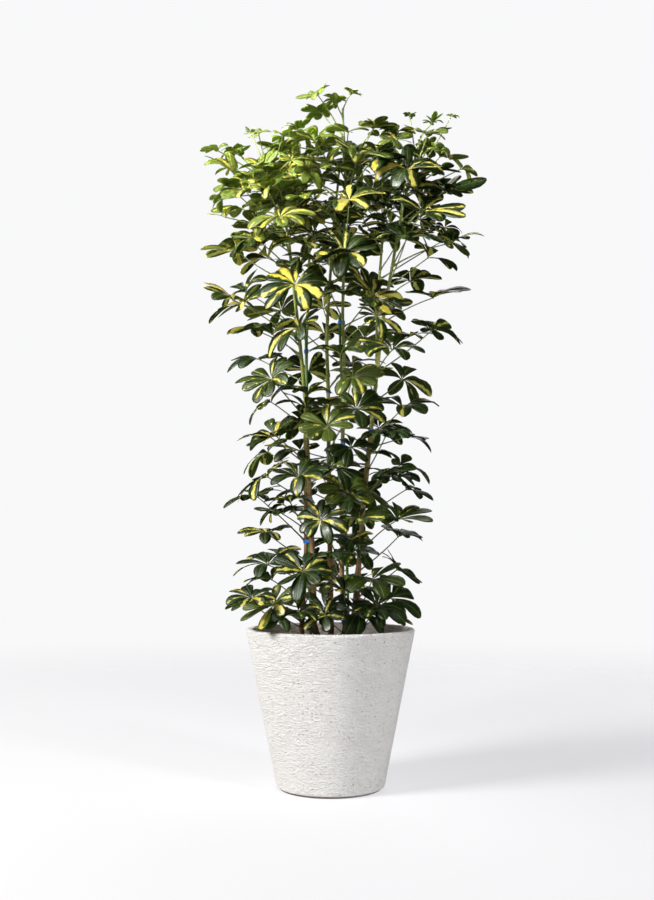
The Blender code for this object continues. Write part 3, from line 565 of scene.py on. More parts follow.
# Each stem: its stake, foot, radii, ties as (height, degrees round the stake) and free points to the tip.
# The hubs are where the leaves that stand out sit, and as many as "leaves" grow between them by rule.
stems = {
    "stem_left_front": {
        "stake": "stake_left", "foot": (-0.028, -0.020), "radius": (0.0072, 0.0027),
        "ties": ((0.372, -40), (0.640, -75), (0.830, -110)),
        "free": ((-0.066, -0.020, 0.960), (-0.080, -0.030, 1.087), (-0.104, -0.040, 1.279),
                 (-0.138, -0.036, 1.369), (-0.158, -0.030, 1.450)),
        "hubs": ((-0.190, 0.030, 1.520), (-0.222, -0.010, 1.460), (-0.154, -0.100, 1.384),
                 (-0.165, -0.060, 1.480), (-0.142, 0.030, 1.440), (-0.190, -0.100, 1.330),
                 (-0.232, -0.060, 1.354), (-0.111, -0.150, 1.253), (-0.163, -0.090, 1.219),
                 (-0.078, -0.120, 1.110), (-0.198, -0.060, 1.079), (-0.132, -0.060, 1.012),
                 (-0.130, -0.090, 0.903), (-0.122, -0.060, 0.780), (-0.142, -0.020, 0.691),
                 (-0.070, -0.140, 0.681), (-0.088, -0.110, 0.630), (-0.142, -0.010, 0.562),
                 (-0.058, -0.150, 0.480), (-0.123, -0.100, 0.407), (-0.070, -0.100, 0.392),
                 (-0.112, -0.100, 1.330), (-0.055, -0.125, 1.195)),
        "leaves": 8, "lowestLeaf": 0.375},
    "stem_left_back": {
        "stake": "stake_left", "foot": (-0.066, 0.022), "radius": (0.0060, 0.0025),
        "ties": ((0.545, 150), (0.985, 95)),
        "free": ((-0.050, 0.042, 1.235), (-0.060, 0.056, 1.406), (-0.046, 0.064, 1.500)),
        "hubs": ((-0.078, -0.010, 1.510), (-0.022, 0.070, 1.500), (-0.120, 0.040, 1.500),
                 (-0.094, -0.070, 1.395), (-0.110, 0.080, 1.380), (-0.149, 0.060, 1.221),
                 (-0.199, 0.030, 1.131), (-0.117, 0.100, 1.102), (-0.166, 0.050, 0.973),
                 (-0.139, 0.040, 0.871), (-0.148, 0.080, 0.757), (-0.170, 0.060, 0.649),
                 (-0.124, 0.090, 0.514), (-0.135, 0.040, 0.457), (-0.180, 0.050, 0.400),
                 (-0.115, -0.015, 1.455), (-0.115, 0.000, 0.400)),
        "leaves": 8, "lowestLeaf": 0.385},
    "stem_centre": {
        "stake": "stake_centre", "foot": (0.026, -0.018), "radius": (0.0062, 0.0023),
        "ties": ((0.366, 150), (0.552, 195), (0.764, 260), (1.046, 350)),
        "free": ((0.031, -0.014, 1.185), (0.035, -0.018, 1.390), (0.029, -0.020, 1.555)),
        "hubs": ((0.101, -0.050, 1.498), (-0.020, 0.010, 1.560), (-0.028, -0.070, 1.470),
                 (0.063, -0.110, 1.410), (-0.014, -0.060, 1.300),
                 (0.041, -0.150, 1.293), (0.032, -0.130, 1.180),
                 (-0.027, -0.140, 1.157), (0.092, -0.120, 1.081), (-0.068, -0.100, 1.018),
                 (0.021, -0.150, 0.948), (0.047, -0.130, 0.901), (-0.007, -0.140, 0.792),
                 (0.032, -0.120, 0.652), (-0.020, -0.170, 0.590), (0.005, -0.170, 0.514),
                 (0.030, -0.130, 0.435), (-0.012, -0.080, 0.400), (0.060, -0.080, 0.390)),
        "leaves": 8, "lowestLeaf": 0.392},
    "stem_back": {
        "stake": "stake_back", "foot": (0.002, 0.042), "radius": (0.0070, 0.0026),
        "ties": ((0.566, -100), (0.900, -90)),
        "free": ((-0.008, 0.070, 1.034), (0.004, 0.092, 1.241), (0.024, 0.104, 1.480)),
        "hubs": ((0.064, 0.040, 1.450), (0.020, 0.050, 1.400), (0.050, 0.030, 0.960)),
        "leaves": 17, "lowestLeaf": 0.380},
    "stem_right_front": {
        "stake": "stake_right", "foot": (0.056, -0.004), "radius": (0.0070, 0.0026),
        "ties": ((0.590, -95), (0.802, -100), (1.030, -85)),
        "free": ((0.141, -0.010, 1.167), (0.174, -0.018, 1.344), (0.212, -0.020, 1.490)),
        "hubs": ((0.290, 0.030, 1.560), (0.256, -0.020, 1.440), (0.192, 0.050, 1.570),
                 (0.235, 0.060, 1.490), (0.172, -0.130, 1.370), (0.262, -0.060, 1.345),
                 (0.279, 0.040, 1.382), (0.204, -0.120, 1.276),
                 (0.168, -0.120, 1.212), (0.223, -0.050, 1.191), (0.233, -0.010, 1.030),
                 (0.166, -0.020, 0.849), (0.120, -0.110, 0.773), (0.120, -0.100, 0.692),
                 (0.150, -0.040, 0.593), (0.063, -0.160, 0.590), (0.090, -0.120, 0.462),
                 (0.132, -0.060, 0.420), (0.100, -0.095, 0.405),
                 (0.125, -0.010, 0.385)),
        "leaves": 9, "lowestLeaf": 0.400},
    "stem_right_back": {
        "stake": "stake_right", "foot": (0.068, 0.048), "radius": (0.0058, 0.0024),
        "ties": ((0.470, 80), (0.905, 85)),
        "free": ((0.112, 0.048, 1.100), (0.130, 0.062, 1.340), (0.132, 0.068, 1.510)),
        "hubs": ((0.156, -0.020, 1.500), (0.118, -0.090, 1.400), (0.160, -0.060, 1.430),
                 (0.084, 0.080, 1.470), (0.100, 0.040, 1.340),
                 (0.210, 0.090, 1.400), (0.274, 0.050, 1.263), (0.245, 0.060, 1.124),
                 (0.171, 0.080, 0.930), (0.164, 0.060, 0.724), (0.160, 0.090, 0.556),
                 (0.153, 0.030, 0.480)),
        "leaves": 13, "lowestLeaf": 0.378},
}
# How far the leaves reach from the planter's axis, as (height, to the left, to the right)
outline = (
    (0.36, 0.250, 0.200), (0.44, 0.215, 0.222), (0.54, 0.224, 0.243), (0.66, 0.241, 0.244),
    (0.78, 0.210, 0.245), (0.87, 0.212, 0.252), (0.96, 0.262, 0.235), (1.02, 0.235, 0.322),
    (1.08, 0.303, 0.325), (1.15, 0.252, 0.305), (1.21, 0.286, 0.354), (1.31, 0.272, 0.351),
    (1.39, 0.358, 0.333), (1.46, 0.285, 0.329), (1.50, 0.242, 0.318), (1.55, 0.120, 0.270),
    (1.60, 0.060, 0.070),
)


def onStake(stake, height):
    foot, head = (Vector(end) for end in stakes[stake])
    return foot.lerp(head, (height - foot.z) / (head.z - foot.z))


def stemRadius(stem, height):
    share = within(height, (plant["soilTop"], stem["free"][-1][2]))
    return mixed(stem["radius"], share ** plant["stemTaper"])


def besideStake(stake, height, degrees, radius, off=0.0):
    distance = plant["stakeRadius"] + radius + plant["fitGap"] + off
    return onStake(stake, height) + level(math.radians(degrees)) * distance


def stemPoints(stem):  # into the soil, past the ties, then free
    x, y = stem["foot"]
    points = [Vector((x, y, plant["soilTop"] - plant["plantedDepth"])),
              Vector((x, y, plant["soilTop"] + plant["stemUpright"]))]
    ties = stem["ties"]
    for i, (height, degrees) in enumerate(ties):
        for z in (height - plant["tieStraight"], height + plant["tieStraight"]):
            points.append(besideStake(stem["stake"], z, degrees, stemRadius(stem, height)))
        if i + 1 < len(ties):
            z, turn = (height + ties[i + 1][0]) / 2, (degrees + ties[i + 1][1]) / 2
            points.append(besideStake(stem["stake"], z, turn, stemRadius(stem, z), plant["standOff"]))
    return points + [Vector(point) for point in stem["free"]]


def spans(points):  # each stretch of a smooth curve: both ends, its length, and its slopes there
    ends = [points[0] * 2 - points[1], *points, points[-1] * 2 - points[-2]]
    for a, b, c, d in zip(ends, ends[1:], ends[2:], ends[3:]):
        before, gap, after = (b - a).length, (c - b).length, (d - c).length
        yield b, c, gap, (c - a) * (gap / (gap + before)), (d - b) * (gap / (gap + after))


def stemRoute(stem):  # one more point in each long gap, on a smooth curve through them all
    points = stemPoints(stem)
    curve = []
    for low, high, gap, leaving, entering in spans(points):
        curve.append(low)
        if gap > plant["longGap"]:
            curve.append((low + high) / 2 + (leaving - entering) / 8)
    return [*curve, points[-1]]


def routeAt(curve, height):
    for low, high in zip(curve, curve[1:]):
        if height <= high.z:
            return low.lerp(high, (height - low.z) / (high.z - low.z))
    return curve[-1].copy()


routes = {name: stemRoute(stem) for name, stem in stems.items()}

# How a leaf looks by its age: each pair goes from a young leaf at the tip to a full-grown one
habit = {
    "ageing": 0.24, "tipLeaf": 0.080, "length": (0.054, 0.094), "lengthSpread": (0.92, 1.08),
    "lowFrom": 1.25, "lowLength": 0.76, "leaflets": (7, 8, 8, 9),
    "stalk": (0.030, 0.135), "stalkAgeing": 0.6, "stalkSpread": (0.82, 1.22),
    "tilt": (18.0, 36.0), "tiltSpread": 9.0, "rise": (62.0, 34.0), "riseSpread": 6.0,
    "sag": (0.10, 0.20), "sagSpread": (0.75, 1.25), "twistSpread": 10.0,
    "lowestRoot": 0.333, "belowTip": 0.004, "rootSteps": 8, "seed": 11, "firstChosen": 50,
}
growth = {
    "crowding": 1.45, "nodeDrop": 0.002, "turns": 14, "stretches": (1.0, 1.22, 0.8, 0.62),
    "drops": (0.0, 13.0, -13.0), "roomy": 0.135, "flatten": 1.45, "edgeLiking": 0.055, "stretchCost": 0.012,
    "scoreSpread": 0.004, "depthReach": 0.93, "spread": 0.80, "apart": 0.078,
}


def leafHabit(tipHeight, height, draw, d):
    age = clamped((tipHeight - height) / d["ageing"])
    low = within(height, (d["lowFrom"], plant["soilTop"]))
    length = mixed(d["length"], age) * mixed((1.0, d["lowLength"]), low)
    return {
        "length": length * draw.uniform(*d["lengthSpread"]),
        "stalk": mixed(d["stalk"], age ** d["stalkAgeing"]) * draw.uniform(*d["stalkSpread"]),
        "tilt": mixed(d["tilt"], age) + draw.uniform(-d["tiltSpread"], d["tiltSpread"]),
        "rise": mixed(d["rise"], age) + draw.uniform(-d["riseSpread"], d["riseSpread"]),
        "sag": mixed(d["sag"], age) * draw.uniform(*d["sagSpread"]),
        "twist": draw.uniform(-d["twistSpread"], d["twistSpread"]),
        "count": draw.choice(d["leaflets"]),
    }


def leafRow(rootHeight, hub, look):  # root height, hub x, y, z, tilt, twist, leaflet length, sag, leaflets
    return (rootHeight, *hub, look["tilt"], look["twist"], look["length"], look["sag"], look["count"])


def chosenLeaf(route, hub, look, d):  # the stalk starts where its rise leads back to the stem
    height = hub[2]
    for _ in range(d["rootSteps"]):
        root = routeAt(route, height)
        drop = math.hypot(hub[0] - root.x, hub[1] - root.y) * math.tan(math.radians(look["rise"]))
        height = clamped(hub[2] - drop, d["lowestRoot"], route[-1].z - d["belowTip"])
    return leafRow(root.z, hub, look)


def reachAt(spot, d):  # how far a leaf may reach on this side and at this height
    z = clamped(spot.z, outline[0][0], outline[-1][0])
    low, high = next((low, high) for low, high in zip(outline, outline[1:]) if z <= high[0])
    share = within(z, (low[0], high[0]))
    left, right = mixed((low[1], high[1]), share), mixed((low[2], high[2]), share)
    angle = math.atan2(spot.y, spot.x)
    sideways = right if spot.x > 0 else left
    return math.hypot(sideways * math.cos(angle), (left + right) / 2 * d["depthReach"] * math.sin(angle))


def grownLeaf(root, look, draw, hubs, d):  # the stalk turns to the most open side inside the outline
    start = draw.uniform(0, 2 * math.pi)
    best = (0, None, 0)
    for k in range(d["turns"]):
        outward = level(start + 2 * math.pi * k / d["turns"])
        for stretch in d["stretches"]:
            for drop in d["drops"]:
                rise = math.radians(look["rise"] + drop)
                line = outward * math.cos(rise) + Vector((0, 0, math.sin(rise)))
                hub = root + line * look["stalk"] * stretch
                used = (hub.xy.length + d["spread"] * look["length"]) / reachAt(hub, d)
                if used > 1:
                    continue
                space = min([d["roomy"]] + [
                    math.hypot(hub.x - other.x, hub.y - other.y, (hub.z - other.z) * d["flatten"])
                    for other in hubs])
                score = space + d["edgeLiking"] * used - d["stretchCost"] * abs(stretch - 1)
                score += draw.uniform(0, d["scoreSpread"])
                if score > best[0]:
                    best = (score, hub, space)
    return best[1] if best[2] > d["apart"] else None


def placeLeaves(d, growing):
    places, hubs, nodes = {name: [] for name in stems}, [], []
    for number, (name, stem) in enumerate(stems.items()):
        tip = routes[name][-1].z
        for i, hub in enumerate(stem["hubs"]):
            draw = random.Random((d["seed"] * 100 + number) * 100 + d["firstChosen"] + i)
            look = leafHabit(tip + d["tipLeaf"], hub[2], draw, d)
            places[name].append(chosenLeaf(routes[name], hub, look, d))
            hubs.append(Vector(hub))
        for i in range(stem["leaves"]):
            share = (i / (stem["leaves"] - 1)) ** growing["crowding"]
            nodes.append((mixed((tip, stem["lowestLeaf"]), share), number, i, name))
    for height, number, i, name in sorted(nodes, reverse=True):
        draw = random.Random((d["seed"] * 100 + number) * 100 + i)
        root = routeAt(routes[name], height - growing["nodeDrop"])
        look = leafHabit(routes[name][-1].z, height, draw, d)
        hub = grownLeaf(root, look, draw, hubs, growing)
        if hub:
            places[name].append(leafRow(root.z, hub, look))
            hubs.append(hub)
    return places


leafPlaces = placeLeaves(habit, growth)
print("leaves placed:", {name: len(rows) for name, rows in leafPlaces.items()})


# Stakes: coated rods with a rounded head and rows of small nubs
stake = {"sides": 12, "rowHeight": 0.0052, "nubEvery": 3, "nubApart": 4, "nubInset": 0.00035,
         "nubRise": 0.00042, "plainHead": 0.008, "headRound": 0.0022, "headSteps": 3}


def makeStake(name, d):
    foot, head = onStake(name, plant["soilTop"] - plant["stakeDepth"]), Vector(stakes[name][1])
    length = (head - foot).length
    bpy.ops.mesh.primitive_cylinder_add(vertices=d["sides"], radius=plant["stakeRadius"] - d["nubRise"] / 2,
                                        depth=length, location=(0, 0, length / 2))
    piece = asPlaced()
    openUp(piece, "EDGE")
    pick(piece, "edges", lambda e: climb(e) > length / 2)
    bpy.ops.mesh.subdivide(number_cuts=int(length / d["rowHeight"]))
    pick(piece, "edges", lambda e: min(v.co.z for v in e.verts) > length - 1e-5)
    bpy.ops.mesh.bevel(offset=d["headRound"], segments=d["headSteps"], profile=0.5)
    bpy.ops.mesh.select_mode(type="FACE")

    def isNub(face):
        middle = face.calc_center_median()
        row = int(middle.z / d["rowHeight"])
        step = int(round((math.atan2(middle.y, middle.x) / (2 * math.pi) * d["sides"]) - 0.5))
        return (abs(face.normal.z) < 0.2 and row % d["nubEvery"] == 0
                and (step + row) % d["nubApart"] == 0 and middle.z < length - d["plainHead"])

    pick(piece, "faces", isNub)
    bpy.ops.mesh.inset(thickness=d["nubInset"], depth=d["nubRise"], use_individual=True)
    closeUp(piece, name.replace("stake", "rod"))
    turn = Vector((0, 0, 1)).rotation_difference((head - foot).normalized())
    piece.data.transform(Matrix.Translation(foot) @ turn.to_matrix().to_4x4())
    smoothShade(piece, 50)
    return piece


coatingLook = {
    "grains": {"fade": (0.030, 0.35, 0.65, (1, 1, 0.25)), "scuff": (0.0035, 0.60, 0.70, (1, 1, 0.3))},
    "base": ("fade", (0.055, 0.190, 0.022), (0.110, 0.310, 0.040)),
    "coats": (("scuff", 0.35, (0.22, 0.34, 0.16)),),
    "relief": {"scuff": 1}, "bump": (0.25, 0.0005), "rough": ("scuff", 0.25, 0.32),
    "sockets": {"Coat Weight": 0.15},
}
greenCoating = finishOf("greenCoating", coatingLook)
for name in stakes:
    settle(makeStake(name, stake), [greenCoating], "stake", name)
print("stakes done:", len(stakes))


# Ties: a soft band round stem and stake, its free end lapped over
tie = {"points": 28, "give": 0.0001, "edgeRound": 0.00035, "lap": 0.0007, "lapSide": 0.32,
       "lapClear": 0.0008}


def makeTie(name, stem, height, degrees, d):
    stakeSpot = onStake(stem["stake"], height)
    stemSpot = besideStake(stem["stake"], height, degrees, stemRadius(stem, height))
    along = (onStake(stem["stake"], height + 1) - stakeSpot).normalized()
    apart = stemSpot - stakeSpot
    apart = (apart - along * apart.dot(along)).normalized()
    gap = (stemSpot - stakeSpot).dot(apart)
    bpy.ops.mesh.primitive_circle_add(vertices=d["points"], radius=1.0, fill_type="NOTHING",
                                      rotation=(0, 0, math.pi / d["points"]))
    piece = asPlaced()
    openUp(piece)
    for sign, radius, shift in ((1, stemRadius(stem, height), gap), (-1, plant["stakeRadius"], 0.0)):
        reach = radius + plant["tieSlack"] + d["give"]
        pick(piece, "verts", lambda v: v.co.x * sign > 0 and v.co.length > 0.5)
        bpy.ops.transform.resize(value=(reach, reach, 1), center_override=(0, 0, 0))
        bpy.ops.transform.translate(value=(shift, 0, 0))
    pickAll()
    bpy.ops.transform.translate(value=(0, 0, -plant["tieHeight"] / 2))
    bpy.ops.mesh.extrude_region_move(TRANSFORM_OT_translate={"value": (0, 0, plant["tieHeight"])})
    closeUp(piece, outwards=True)
    wall = piece.modifiers.new("wall", "SOLIDIFY")
    wall.thickness, wall.offset = plant["tieThickness"], 1.0
    applyAll(piece)
    openUp(piece, "FACE")
    pick(piece, "faces", lambda f: abs(f.normal.z) < 0.3 and f.normal.y < -0.2
         and f.calc_center_median().x > gap * d["lapSide"]
         and (f.calc_center_median() - Vector((gap, 0, 0))).xy.length
         > stemRadius(stem, height) + d["lapClear"])
    bpy.ops.mesh.extrude_region_shrink_fatten(TRANSFORM_OT_shrink_fatten={"value": -d["lap"]})
    closeUp(piece, name.replace("tie", "band"), outwards=True)
    soften = piece.modifiers.new("soften", "BEVEL")
    soften.width, soften.segments, soften.limit_method = d["edgeRound"], 2, "ANGLE"
    applyAll(piece)
    frameOf = Matrix((apart, along.cross(apart), along)).transposed().to_4x4()
    piece.data.transform(Matrix.Translation(stakeSpot) @ frameOf)
    smoothShade(piece, 40)
    return piece


bandLook = {
    "grains": {"rub": (0.0022, 0.40, 0.66)},
    "base": ("rub", (0.020, 0.190, 0.800), (0.050, 0.300, 0.900)),
    "coats": (), "relief": {"rub": 1}, "bump": (0.25, 0.0004), "rough": ("rub", 0.16, 0.38),
}
blueBand = finishOf("blueBand", bandLook)
tieCount = 0
for name, stem in stems.items():
    for k, (height, degrees) in enumerate(stem["ties"], 1):
        tieName = name.replace("stem", "tie") + "_%d" % k
        settle(makeTie(tieName, stem, height, degrees, tie), [blueBand], "tie", tieName)
        tieCount += 1
print("ties done:", tieCount)


# Stems: bark with ring scars, brown at the foot and green above
stemBody = {"step": 0.0032, "sides": 3, "scarRise": 0.10, "scarWidth": 0.0022, "firstScar": 0.012,
            "internode": (0.020, 0.038), "plainTip": 0.010, "wobble": 0.035, "wobbles": 40,
            "wobbleShift": 0.01, "tipRound": 0.004, "tipTaper": 0.15, "seed": 21}


def smoothCurve(points, step):  # even steps along a curve through the points
    line = []
    for low, high, gap, leaving, entering in spans(points):
        count = max(1, round(gap / step))
        for k in range(count):
            t = k / count
            line.append(low * (2 * t**3 - 3 * t**2 + 1) + leaving * (t**3 - 2 * t**2 + t)
                        + high * (3 * t**2 - 2 * t**3) + entering * (t**3 - t**2))
    return [*line, points[-1]]


def makeTrunk(name, stem, d):
    draw = random.Random(d["seed"] + len(name) + int(stem["foot"][0] * 1000))
    line = smoothCurve(stemPoints(stem), d["step"])
    tipHeight = line[-1].z
    scars, height = [place[0] for place in leafPlaces[name]], plant["soilTop"] + d["firstScar"]
    while height < tipHeight - d["plainTip"]:
        scars.append(height)
        height += draw.uniform(*d["internode"])
    path = bpy.data.curves.new(name, "CURVE")
    path.dimensions, path.bevel_depth, path.bevel_resolution = "3D", 1.0, d["sides"]
    path.use_fill_caps, path.twist_mode = True, "MINIMUM"
    spline = path.splines.new("POLY")
    spline.points.add(len(line) - 1)
    for point, spot in zip(spline.points, line):
        bulge = max(math.exp(-((spot.z - scar) / d["scarWidth"]) ** 2) for scar in scars)
        shift = Vector((0, 0, draw.random() * d["wobbleShift"]))
        wobble = noise.noise(spot * d["wobbles"] + shift) * d["wobble"]
        taper = clamped((tipHeight - spot.z) / d["tipRound"], d["tipTaper"])
        point.co = (*spot, 1)
        point.radius = stemRadius(stem, spot.z) * (1 + d["scarRise"] * bulge + wobble) * math.sqrt(taper)
    takeUp(newObject(name, path))
    bpy.ops.object.convert(target="MESH")
    trunk = bpy.context.object
    openUp(trunk)
    closeUp(trunk, name.replace("stem", "trunk"), outwards=True)
    smoothShade(trunk, 60)
    return trunk


barkLook = {
    "grains": {"drift": (0.045, 0.20, 0.80, (1, 1, 0.6)), "bands": (0.0040, 0.45, 0.62, (0.35, 0.35, 2.2)),
               "streaks": (0.0035, 0.40, 0.66, (1, 1, 0.22))},
    "heights": {"drift": 0.22, "offset": -0.11, "top": 1.6, "stops": (
        (0.19, (0.270, 0.115, 0.050)), (0.34, (0.330, 0.170, 0.070)), (0.44, (0.340, 0.280, 0.075)),
        (0.56, (0.410, 0.460, 0.085)), (0.80, (0.460, 0.550, 0.120)), (0.97, (0.400, 0.540, 0.150)))},
    "coats": (("bands", 0.28, (0.055, 0.036, 0.020)), ("streaks", 0.30, (0.330, 0.290, 0.180))),
    "relief": {"bands": 1, "streaks": 1}, "bump": (0.5, 0.0008), "rough": ("bands", 0.2, 0.45),
}
stemBark = finishOf("stemBark", barkLook)
for name, stem in stems.items():
    settle(makeTrunk(name, stem, stemBody), [stemBark], "plant", name)
print("trunks done:", len(stems))


# Petioles: one tapered stalk with a sheathed foot, bent into place for each leaf
petiole = {"sides": 7, "rows": 7, "foot": 0.0020, "top": 0.00125, "taper": 0.7, "sheath": 1.75,
           "sheathEnd": 0.05, "bow": (-0.035, 0.055), "knuckle": 0.0026, "knuckleShare": (0.75, 1.0),
           "knuckleLeaf": 0.09, "knuckleFlat": 0.7, "seed": 33}


def stalkShape(d):  # 1 long along Z, with a radius of 1
    bpy.ops.mesh.primitive_cylinder_add(vertices=d["sides"], radius=1.0, depth=1.0, location=(0, 0, 0.5))
    stalk = asPlaced()
    openUp(stalk, "EDGE")
    pick(stalk, "edges", lambda e: climb(e) > 0.5)
    bpy.ops.mesh.subdivide(number_cuts=d["rows"])
    return closeUp(stalk, "stalkShape")


def knuckleShape(d):
    bpy.ops.mesh.primitive_uv_sphere_add(segments=8, ring_count=5, radius=1.0)
    knuckle = bpy.context.object
    openUp(knuckle)
    pickAll()
    bpy.ops.transform.resize(value=(1, 1, d["knuckleFlat"]))
    return closeUp(knuckle, "knuckleShape")


# How leaves hold themselves: most turn a little to the light in front, and some hang or stand more
carriage = {
    "light": (-0.12, -0.60, 0.10), "lightShare": (-0.25, 0.72), "youngLight": 0.15, "tipLevel": 1.5,
    "lean": (-30.0, 12.0), "cup": (9.0, 27.0), "sagSpread": (0.5, 1.25), "boxGive": 0.012, "boxReach": 1.10,
    "young": 0.15, "aboveTip": 0.05, "youngSize": (0.42, 1.12), "seed": 77,
}


class LeafFrame:  # the directions of one leaf, near those that the CAD solids have
    def __init__(self, route, place, draw, d):
        rootHeight, x, y, z, tilt, twist, self.length, sag, self.count = place
        self.root, self.hub = routeAt(route, rootHeight), Vector((x, y, z))
        self.young = z > route[-1].z - d["young"]
        self.below = clamped((route[-1].z + d["aboveTip"] - z) / (d["young"] + d["aboveTip"]))
        out = self.hub - self.root
        outward = level(math.atan2(out.y, out.x))
        tilt = math.radians(tilt + draw.uniform(*d["lean"]))
        upright = Vector((0, 0, 1)) * math.cos(tilt) + outward * math.sin(tilt)
        share = mixed(d["lightShare"], draw.random()) + (d["youngLight"] if self.young else 0)
        share *= clamped(self.below * d["tipLevel"])  # the topmost leaves are held level
        self.normal = (upright + Vector(d["light"]) * share).normalized()
        self.ahead = (outward - self.normal * outward.dot(self.normal)).normalized()
        self.side = self.normal.cross(self.ahead)
        self.twist = math.radians(twist)
        self.cup = math.radians(draw.uniform(*d["cup"]))
        self.sag = sag * draw.uniform(*d["sagSpread"])
        self.room = min(min(self.hub[k] - cadBox[0][k], cadBox[1][k] - self.hub[k]) for k in (0, 1))

    def turns(self):
        return [self.twist + math.pi * (2 * k + 1 - self.count) / self.count for k in range(self.count)]

    def shorten(self, d):  # the highest are the smallest, and none passes the model's box by much
        if self.young:
            self.length *= mixed(d["youngSize"], self.below ** 0.5)
        self.length = min(self.length, (self.room + d["boxGive"]) / d["boxReach"])


def bendStalk(copied, leaf, d, draw):
    line = leaf.hub - leaf.root
    bow = mixed(d["bow"], draw.random()) * line.length
    along = line.normalized()
    side = along.cross(Vector((0, 0, 1))).normalized()
    over = side.cross(along)
    for vertex in copied.data.vertices:
        t = vertex.co.z
        sheath = 1 + (d["sheath"] - 1) * math.exp(-(t / d["sheathEnd"]) ** 2)
        radius = mixed((d["foot"], d["top"]), t ** d["taper"]) * sheath
        middle = leaf.root + line * t + over * (bow * 4 * t * (1 - t))
        vertex.co = middle + (side * vertex.co.x + over * vertex.co.y) * radius


# Leaflets: one flat obovate blade, bent, folded and rolled for each place
leaflet = {
    "rows": ((0.0, 0.050), (0.07, 0.065), (0.16, 0.24), (0.32, 0.54), (0.50, 0.82), (0.68, 1.0),
             (0.83, 0.94), (0.94, 0.64), (1.0, 0.20)),
    "columns": 4, "halfWidth": 0.205, "thickness": 0.0005, "stalkThickness": 0.0011, "stalkEnd": 0.1,
    "fold": (0.04, 0.26), "curl": (0.04, 0.18), "roll": 22.0, "fullRoll": 3, "droop": (-0.15, 0.24),
    "ripple": 0.016, "ripples": 9, "rippleStart": (0, 6.28), "swing": (-0.05, 0.05),
    "turnSpread": 11.0, "lengthSpread": (0.80, 1.15), "widthSpread": (0.90, 1.12),
    "backLeaflet": 0.72, "backCurve": 0.7, "arch": 0.07, "missing": 0.04, "seed": 57,
}


# Leaflets near a tip are shorter, rounder and lie less evenly
youngLeaflet = {
    **leaflet,
    "rows": ((0.0, 0.050), (0.06, 0.070), (0.15, 0.32), (0.29, 0.66), (0.46, 0.92), (0.64, 1.0),
             (0.80, 0.91), (0.92, 0.62), (1.0, 0.20)),
    "halfWidth": 0.215, "fold": (0.00, 0.26), "roll": 32.0, "turnSpread": 10.0, "lengthSpread": (0.72, 1.08),
    "droop": (-0.22, 0.36), "missing": 0.10,
}


def bladeShape(d):  # length along X from 0 to 1, half width 1 across Y, thickness 1 up and down Z
    rows, spread, aside = d["rows"], 20.0, 100.0  # the rows start far apart, and those done wait aside
    bpy.ops.mesh.primitive_grid_add(x_subdivisions=len(rows) - 1, y_subdivisions=d["columns"], size=2.0)
    blade = bpy.context.object
    openUp(blade)
    pickAll()
    bpy.ops.transform.translate(value=(1.0, 0, 0))
    bpy.ops.transform.resize(value=(spread / 2, 1, 1), center_override=(0, 0, 0))
    step = spread / (len(rows) - 1)
    for k, (station, width) in enumerate(rows):
        pick(blade, "verts", lambda v: abs(v.co.x - k * step) < 0.01)
        bpy.ops.transform.resize(value=(1, width, 1), center_override=(0, 0, 0))
        bpy.ops.transform.translate(value=(-aside + station - k * step, 0, 0))
    pickAll()
    bpy.ops.transform.translate(value=(aside, 0, 0))
    pick(blade, "verts", lambda v: not v.is_boundary)
    bpy.ops.transform.translate(value=(0, 0, 1.0))
    pickAll()
    bpy.ops.mesh.duplicate()
    bpy.ops.transform.resize(value=(1, 1, -1), center_override=(0, 0, 0))
    bpy.ops.mesh.flip_normals()
    pickAll()
    bpy.ops.mesh.remove_doubles(threshold=1e-5)
    closeUp(blade, "bladeShape")
    for face in blade.data.polygons:
        face.material_index = 0 if face.normal.z > 0 else 1
        face.use_smooth = True
    layer = blade.data.uv_layers.new(name="bladeMap")
    for loop in blade.data.loops:
        spot = blade.data.vertices[loop.vertex_index].co
        layer.data[loop.index].uv = (spot.x, 0.5 + spot.y * d["halfWidth"])
    blade.data.attributes.new("bladeTone", "FLOAT_COLOR", "POINT")
    return blade


# Low leaflets rest on the rim and on the soil
rest = {"overRim": 0.3535, "overSoil": 0.326, "rimFrom": 0.170, "give": 0.06}


